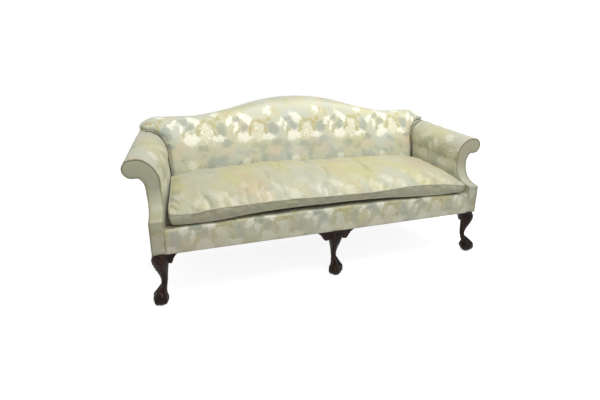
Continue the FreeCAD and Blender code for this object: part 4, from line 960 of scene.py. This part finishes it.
def leg_shaft(place, lean, sides=48, steps=70):
    """Cabriole shaft from the ball to the rail, squarish in section."""
    across = sideways(lean)
    verts = []
    for z in np.linspace(LEG_Z[0], LEG_Z[-1], steps):
        centre = place + lean * smooth_curve(z, LEG_Z, LEG_KICK)
        radius = smooth_curve(z, LEG_Z, LEG_RADIUS)
        for k in range(sides):
            angle = 2 * pi * k / sides
            c, s = cos(angle), sin(angle)
            r = radius / (abs(c) ** 2.5 + abs(s) ** 2.5) ** 0.4
            verts.append((*(centre + lean * r * c + across * r * s), z))
    return verts, grid_faces(steps, sides, closed=True) + end_caps(steps, sides)


def leg_ball(place, lean, rings=22, sides=36):
    """Ball of the foot, cut flat where it stands on its glide."""
    centre = place + lean * FOOT_KICK
    turns = ring_angles(sides)
    verts = [(*centre, BALL_Z + BALL_RADIUS)]
    for angle in pi * np.arange(1, rings) / rings:
        ring = centre + BALL_RADIUS * sin(angle) * columns(np.cos(turns), np.sin(turns))
        verts += [(*spot, max(BALL_Z + BALL_RADIUS * cos(angle), GLIDE)) for spot in ring]
    verts.append((*centre, GLIDE))
    last = 1 + (rings - 2) * sides
    faces = [(1 + k, 1 + (k + 1) % sides, 0) for k in range(sides)]
    faces += [face[::-1] for face in grid_faces(rings - 1, sides, closed=True, start=1)]
    faces += [(last + (k + 1) % sides, last + k, len(verts) - 1) for k in range(sides)]
    return verts, faces


def leg_talon(place, lean, turn, low):
    """One toe: down the ankle, over the ball with two knuckles, to a claw."""
    centre = place + lean * FOOT_KICK
    ankle = place + lean * smooth_curve(ANKLE_Z, LEG_Z, LEG_KICK)
    heading = lean * cos(turn) + sideways(lean) * sin(turn)
    on_ankle = np.array([*(ankle + heading * 0.0115), ANKLE_Z])
    reach = BALL_RADIUS - 0.0005
    path, radii = [], []
    for t in np.linspace(0, 1, 30):
        fall = TOE_TOP + (pi * low - TOE_TOP) * t
        on_ball = np.array([*(centre + heading * reach * sin(fall)), BALL_Z + reach * cos(fall)])
        share = ease(0.0, 0.30, t)
        path.append(on_ankle * (1 - share) + on_ball * share)
        knuckle = sum(high * hill(t - at, wide) for at, wide, high in KNUCKLES)
        claw = 0.0032 * ease(0.80, 1.0, t)
        radii.append(max(TOE_RADIUS * (1 - 0.35 * t) + knuckle - claw, 0.0016))
    return tube_parts(path, radii, sides=12)[:2]


def leg_wing(start, heading, reach, thick):
    """Bracket cut from a board: its outline along heading, its thickness across."""
    edge = np.array(WING_EDGE)
    for _ in range(2):
        cut = np.empty((2 * (len(edge) - 1), 2))
        cut[0::2] = edge[:-1] * 0.75 + edge[1:] * 0.25
        cut[1::2] = edge[:-1] * 0.25 + edge[1:] * 0.75
        edge = np.vstack([edge[:1], cut, edge[-1:]])
    outline = np.vstack([edge, [(0.0, edge[-1][1])]])
    verts = [(*(start + heading * share * reach + sideways(heading) * side * thick), z)
             for side in (-0.5, 0.5) for share, z in outline]
    count = len(outline)
    faces = [tuple(range(count)), tuple(range(2 * count - 1, count - 1, -1))]
    faces += [(k, k + count, (k + 1) % count + count, (k + 1) % count) for k in range(count)]
    return verts, faces


def carve(mesh, place, lean, wings):
    """Leafage on the knee and scrolls on its brackets, cut into the finished skin."""
    co, normal = read_vertices(mesh), read_vertices(mesh, "normal")
    z = co[:, 2]
    side = (co[:, :2] - place) @ sideways(lean)
    off = np.abs(side)
    knee = ease(0.140, 0.168, z) * ease(0.2555, 0.246, z)
    knee = knee * ease(0.05, 0.45, normal[:, :2] @ lean)
    leaf = (z - 0.150) / 0.0215 + off / 0.020
    lobes = np.cos(2 * pi * leaf) * ease(0.0015, 0.006, off)
    rib = hill(side, 0.0032) * 1.2 - hill(off - 0.0070, 0.0022) * 0.8
    veins = np.cos(2 * pi * (z / 0.0072 - off / 0.0060)) * 0.3
    depth = (lobes * 0.8 + rib + veins) * knee * CARVING
    for start, heading, reach, _ in wings:
        run = (co[:, :2] - start) @ heading
        flatness = np.abs(normal[:, :2] @ sideways(heading))
        eye, rise = run - reach * SCROLL_EYE, z - SCROLL_EYE_Z
        ring = np.hypot(eye, rise)
        scroll = np.cos(2 * pi * ring / SCROLL_PITCH + np.arctan2(rise, eye))
        on_wing = ease(reach * 0.12, reach * 0.26, run) * ease(0.35, 0.8, flatness)
        on_wing = on_wing * ease(0.256, 0.250, z)
        hatching = np.cos(2 * pi * (run / 0.012 + z / 0.010)) * ease(0.018, 0.03, ring)
        depth += scroll * hill(ring, 0.030) * on_wing * CARVING + hatching * on_wing * 0.0005
    move_vertices(mesh, co + normal * depth[:, None])


def carved_leg(name, x, lean, wings):
    """Shaft, ball, toes and brackets grown into one skin, then carved."""
    lean = np.array(lean) / np.linalg.norm(lean)
    place = np.array((x, FRONT + LEG_DEPTH))
    parts = [leg_shaft(place, lean), leg_ball(place, lean)]
    parts += [leg_talon(place, lean, turn, low) for turn, low in TOES]
    parts += [leg_wing(*wing) for wing in wings]
    verts, faces = [], []
    for some_verts, some_faces in parts:
        faces += [tuple(k + len(verts) for k in face) for face in some_faces]
        verts += some_verts
    rough = mesh_object(name + "_rough", verts, faces)
    skin = rough.modifiers.new("skin", "REMESH")
    skin.mode = "VOXEL"
    skin.voxel_size = SKIN_CELL
    rough.modifiers.new("smooth", "SMOOTH").iterations = 2
    bpy.context.view_layer.update()
    mesh = bpy.data.meshes.new_from_object(rough.evaluated_get(bpy.context.evaluated_depsgraph_get()))
    bpy.data.objects.remove(rough)
    leg = smooth_object(name, mesh)
    carve(mesh, place, lean, wings)
    return leg


def wing(x, behind, heading, reach, thick):
    """Where a knee bracket starts, which way it runs, how far, and its thickness."""
    return np.array((x, FRONT + behind)), np.array(heading), reach, thick


for side, word in SIDES:
    inward = wing(side * (LEG_X - 0.012), 0.021, (-side, 0.0), 0.061, 0.026)
    rearward = wing(side * (LEG_X + 0.008), LEG_DEPTH + 0.014, (0.0, 1.0), 0.065, 0.024)
    leg = carved_leg(f"{word}_cabriole_leg", side * LEG_X, (side, -1.0), (inward, rearward))
    dress(leg, MAHOGANY, (f"{word}_front_leg", f"{word}_leg_front_bracket", f"{word}_leg_side_bracket"))
middle_wings = [wing(side * 0.016, 0.019, (side, 0.0), 0.0905, 0.028) for side, _ in SIDES]
middle_leg = carved_leg("middle_cabriole_leg", 0.0, (0.0, -1.0), middle_wings)
dress(middle_leg, MAHOGANY, ("centre_front_leg", "centre_leg_left_bracket", "centre_leg_right_bracket"))

# Loose cushion: a wavering welt in front, a feather crown, and boxing that bulges
CUSHION_LOW, CUSHION_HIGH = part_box("cushion_piping")
CUSHION_HALF = CUSHION_HIGH.x
CUSHION_FRONT = CUSHION_LOW.y
CUSHION_DEPTH = CUSHION_HIGH.y - CUSHION_LOW.y
CUSHION_TAPER = 0.101
CUSHION_REST = DECK + 0.0012
WELT_RADIUS = 0.0034
UNDERCUT = 0.010
# height of the front edge's upper and lower welt across the sofa
WELT_X = np.array([-0.844, -0.744, -0.631, -0.491, -0.266, -0.050, 0.243, 0.497, 0.670, 0.844])
WELT_TOP = np.array([0.447, 0.441, 0.453, 0.457, 0.461, 0.455, 0.453, 0.463, 0.452, 0.428])
WELT_BOTTOM = np.array([0.393, 0.391, 0.393, 0.405, 0.416, 0.416, 0.412, 0.398, 0.391, 0.391])
# rise of the crown above the upper welt, from front to back
CROWN_KNOTS = np.array([0.0, 0.03, 0.07, 0.13, 0.20, 0.30, 0.40, 0.44, 0.465])
CROWN_RISE = np.array([0.0, 0.026, 0.050, 0.073, 0.091, 0.107, 0.114, 0.110, 0.094])
TOP_WAVES = (((0.22, 0.14, 1), 71.0, 0.005), ((0.10, 0.035, 1), 77.0, 0.0016))
PUCKERS = (((0.036, 0.075, 1), 83.0, 0.0060),)
# cells across and front to back, and how much closer they stand near the edges
CUSHION_CELLS = (190, 56)
CUSHION_CROWDING = (0.93, 0.85)
BOXING_ROWS = 9
# Cloth simulation of the skin
PAD_CLOTH = {"quality": 4, "mass": 0.3, "tension_stiffness": 12, "compression_stiffness": 12,
             "shear_stiffness": 4, "bending_stiffness": 0.15, "use_pressure": True,
             "uniform_pressure_force": 4.0, "shrink_min": -0.036}
PAD_FRAMES = 20
PAD_CAP = 0.016
RIM_HOLD = 0.6
SWELL_KEPT = 0.15
SWELL_ROUNDS = 40


def cushion_plan(a, b, depth):
    """Plan of the cushion for a across and b front to back, each from -1 to 1, with eased corners."""
    pull = 0.012 * np.abs(a) ** 8 * np.abs(b) ** 8
    waist_x = 0.006 * (1 - b ** 2) * np.abs(a) ** 6
    waist_y = 0.005 * (1 - a ** 2) * np.abs(b) ** 6
    x = a * (CUSHION_HALF - 0.004 - CUSHION_TAPER * depth - pull - waist_x)
    y = CUSHION_FRONT + 0.004 + depth * (1 - 0.008 / CUSHION_DEPTH) - (pull + waist_y) * np.sign(b)
    return x, y


def cushion_top(a, depth, x):
    """Height of the top without its waves: the welt's at the edges, a feather crown between."""
    rise = smooth_curve(depth, CROWN_KNOTS, CROWN_RISE)
    corner_drop = 0.58 - 0.46 * depth / CUSHION_DEPTH
    at_side = 1 - corner_drop * np.exp(-(1 - np.abs(a)) * CUSHION_HALF / 0.032)
    long_fall = 1 - 0.16 * np.abs(a) ** 2.2
    right_fall = 1 - 0.09 * ease(0.10, 0.50, x)
    return smooth_curve(x, WELT_X, WELT_TOP) + rise * at_side * long_fall * right_fall


def inflate(obj, held, rows, cols):
    """Cloth simulation of the cushion's skin.

    The creases that it finds are kept, the even swelling mostly isn't."""
    group = obj.vertex_groups.new(name="held")
    for index, weight in held.items():
        group.add([index], weight, "REPLACE")
    skin = obj.modifiers.new("cloth", "CLOTH")
    for name, value in PAD_CLOTH.items():
        setattr(skin.settings, name, value)
    skin.settings.vertex_group_mass = group.name
    skin.settings.effector_weights.gravity = 0
    skin.point_cache.frame_start = 1
    skin.point_cache.frame_end = PAD_FRAMES
    for number in range(1, PAD_FRAMES + 1):
        bpy.context.scene.frame_set(number)
    start = read_vertices(obj.data)
    puffed = obj.evaluated_get(bpy.context.evaluated_depsgraph_get()).data
    move = read_vertices(puffed) - start
    obj.modifiers.remove(skin)
    obj.vertex_groups.remove(group)
    bpy.context.scene.frame_set(1)
    top = move[:rows * cols].reshape(rows, cols, 3)
    swell = top
    for _ in range(SWELL_ROUNDS):
        swell = smoothed(swell)
        swell = smoothed(swell.swapaxes(0, 1)).swapaxes(0, 1)
    move[:rows * cols] = (top - swell * (1 - SWELL_KEPT)).reshape(-1, 3)
    far = np.linalg.norm(move, axis=1)
    move *= np.minimum(1, PAD_CAP / np.maximum(far, 1e-9))[:, None]
    move_vertices(obj.data, start + move)
    rounder = obj.modifiers.new("rounder", "SUBSURF")
    rounder.levels = rounder.render_levels = 1


def cushion():
    """The cushion's skin, inflated, and the vertices round its upper and its lower edge."""
    nx, ny = CUSHION_CELLS
    a, b = np.meshgrid(*(
        np.sin(np.linspace(-1, 1, cells) * pi / 2 * crowding) / sin(pi / 2 * crowding)
        for cells, crowding in zip(CUSHION_CELLS, CUSHION_CROWDING)))
    depth = (b + 1) / 2 * CUSHION_DEPTH
    x, y = cushion_plan(a, b, depth)
    place = columns(x, y, 0)
    inner = (1 - np.abs(a) ** 10) * (1 - np.abs(b) ** 10)
    at_front = ease(0.0, 0.015, depth) * hill(depth, 0.060)
    top = cushion_top(a, depth, x) + waves(place, TOP_WAVES) * inner + waves(place, PUCKERS) * at_front
    lifted = (smooth_curve(x, WELT_X, WELT_BOTTOM) - CUSHION_REST) * np.exp(-depth / 0.045)
    bottom = np.maximum(CUSHION_REST + lifted, DECK + 0.001)
    middle = CUSHION_FRONT + CUSHION_DEPTH / 2
    under_x = x * (1 - UNDERCUT / CUSHION_HALF)
    under_y = middle + (y - middle) * (1 - UNDERCUT / (CUSHION_DEPTH / 2))
    verts = [columns(x, y, top).reshape(-1, 3), columns(under_x, under_y, bottom).reshape(-1, 3)]
    uvs = [columns(x, y * 1.05).reshape(-1, 2), columns(x, y).reshape(-1, 2)]
    faces = grid_faces(ny, nx)
    faces += [face[::-1] for face in grid_faces(ny, nx, start=nx * ny)]
    # boxing, ring by ring from the upper edge to the lower one
    index = np.arange(nx * ny).reshape(ny, nx)
    rim = np.concatenate([index[0], index[1:, -1], index[-1, -2::-1], index[-2:0:-1, 0]])
    edge = verts[0][rim, :2]
    high, low = top.ravel()[rim], bottom.ravel()[rim]
    out = -sideways(headings(edge, closed=True))
    around = path_lengths(edge)
    rings = [rim]
    for t in np.arange(1, BOXING_ROWS) / BOXING_ROWS:
        bulge = 0.0065 + ripple(columns(around, t * 1.2, 5.0), (0.055, 1, 1), 0.0) * 0.0035
        bulge = bulge + ripple(columns(around, t * 1.5, 9.0), (0.022, 1, 1), t * 0.8) * 0.0014
        swell = bulge * sin(pi * t) - UNDERCUT * t
        z = high * (1 - t) + low * t
        rings.append(2 * nx * ny + (len(rings) - 1) * len(rim) + np.arange(len(rim)))
        verts.append(np.column_stack([edge + out * swell[:, None], z]))
        uvs.append(columns(around - CUSHION_HALF, y[0, 0] - 0.08 - (high - z)))
    rings.append(nx * ny + rim)
    for upper, lower in zip(rings, rings[1:]):
        faces += zip(upper, lower, np.roll(lower, -1), np.roll(upper, -1))
    obj = mesh_object("seat_cushion", np.vstack(verts), faces, np.vstack(uvs))
    held = {k: 1.0 for k in range(nx * ny, 2 * nx * ny)}
    held.update({int(k): RIM_HOLD for k in rim})
    inflate(obj, held, ny, nx)
    return obj, rim, rings[-1]


def rim_path(obj, rim, lift):
    """Smoothed path of a welt along one edge of the cushion."""
    points = read_vertices(obj.data)[rim]
    for _ in range(3):
        points = (np.roll(points, 1, 0) + 2 * points + np.roll(points, -1, 0)) / 4
    points[:, 2] += lift
    return resample(looped(points), 0.008)[:-1]


pad, top_rim, low_rim = cushion()
dress(pad, SEAT_CLOTH, ("cushion_cover", "cushion_core"), body="cushion")
for name, rim, lift in (("cushion_welt_top", top_rim, 0.0), ("cushion_welt_bottom", low_rim, 0.003)):
    welt = tube(name, rim_path(pad, rim, lift), WELT_RADIUS, closed=True)
    dress(welt, PIPING_CLOTH, ("cushion_piping",), body="cushion")

# Stage, camera and light
FLOOR_X, FLOOR_Y = 12, 9
FLOOR_GREY = (0.45, 0.45, 0.45)
FLOOR_GLOW = 0.84
WORLD_LIGHT = 0.36
WHITE = (1, 1, 1)
CAMERA_PLACE = (-0.853451, -1.743578 + FRONT, 1.037338)
CAMERA_YAW, CAMERA_PITCH, CAMERA_ROLL = 0.354, 0.305, 0.0037
PHOTO_WIDTH, FOCAL_PIXELS, SENSOR = 600.0, 390.0, 36.0


def as_backdrop(tree):
    """1 where the camera or a glossy surface sees it, else 0."""
    rays = add_node(tree, "LightPath", {})
    camera, glossy = (Wire(tree, rays.outputs[f"Is {kind} Ray"]) for kind in ("Camera", "Glossy"))
    return camera.math("MAXIMUM", glossy)


floor = mesh_object("studio_floor", [(-FLOOR_X, -FLOOR_Y, 0), (FLOOR_X, -FLOOR_Y, 0),
                                     (FLOOR_X, FLOOR_Y, 0), (-FLOOR_X, FLOOR_Y, 0)], [(0, 1, 2, 3)])
floor_look = Painter("studio_floor")
glow = as_backdrop(floor_look.tree) * FLOOR_GLOW
floor.data.materials.append(
    floor_look.finish(FLOOR_GREY, 0.9, Emission_Color=WHITE, Emission_Strength=glow))


def aim_camera():
    """Camera at the photograph's place, angle and field of view."""
    yaw, pitch, roll = CAMERA_YAW, CAMERA_PITCH, CAMERA_ROLL
    ahead = Vector((sin(yaw) * cos(pitch), cos(yaw) * cos(pitch), -sin(pitch)))
    right = Vector((cos(yaw), -sin(yaw), 0))
    up = right.cross(ahead)
    tilted = right * cos(roll) + up * sin(roll)
    level = up * cos(roll) - right * sin(roll)
    data = bpy.data.cameras.new("camera")
    data.sensor_width = SENSOR
    data.lens = SENSOR * FOCAL_PIXELS / PHOTO_WIDTH
    camera = in_scene("camera", data)
    turn = Matrix((tilted, level, -ahead)).transposed().to_4x4()
    camera.matrix_world = Matrix.Translation(CAMERA_PLACE) @ turn
    bpy.context.scene.camera = camera


def lamp(name, place, aim, size, power):
    """Soft box at a place, turned to what it is aimed at."""
    data = bpy.data.lights.new(name, "AREA")
    data.shape = "RECTANGLE"
    data.size, data.size_y = size
    data.energy = power
    light = in_scene(name, data)
    light.location = place
    light.rotation_mode = "QUATERNION"
    light.rotation_quaternion = (Vector(aim) - Vector(place)).to_track_quat("-Z", "Y")


aim_camera()
lamp("top_light", (0.5, -0.9, 3.1), (0, 0.05, 0.5), (3.4, 1.4), 78)
lamp("front_light", (0.9, -3.4, 2.3), (0, 0, 0.6), (3.4, 0.7), 26)

world = bpy.data.worlds.new("studio")
bpy.context.scene.world = world
world.use_nodes = True
sky = world.node_tree
background = sky.nodes["Background"].inputs
feed(sky, background["Color"], WHITE)
feed(sky, background["Strength"], as_backdrop(sky) * (1 - WORLD_LIGHT) + WORLD_LIGHT)
bpy.context.scene.view_settings.view_transform = "Standard"
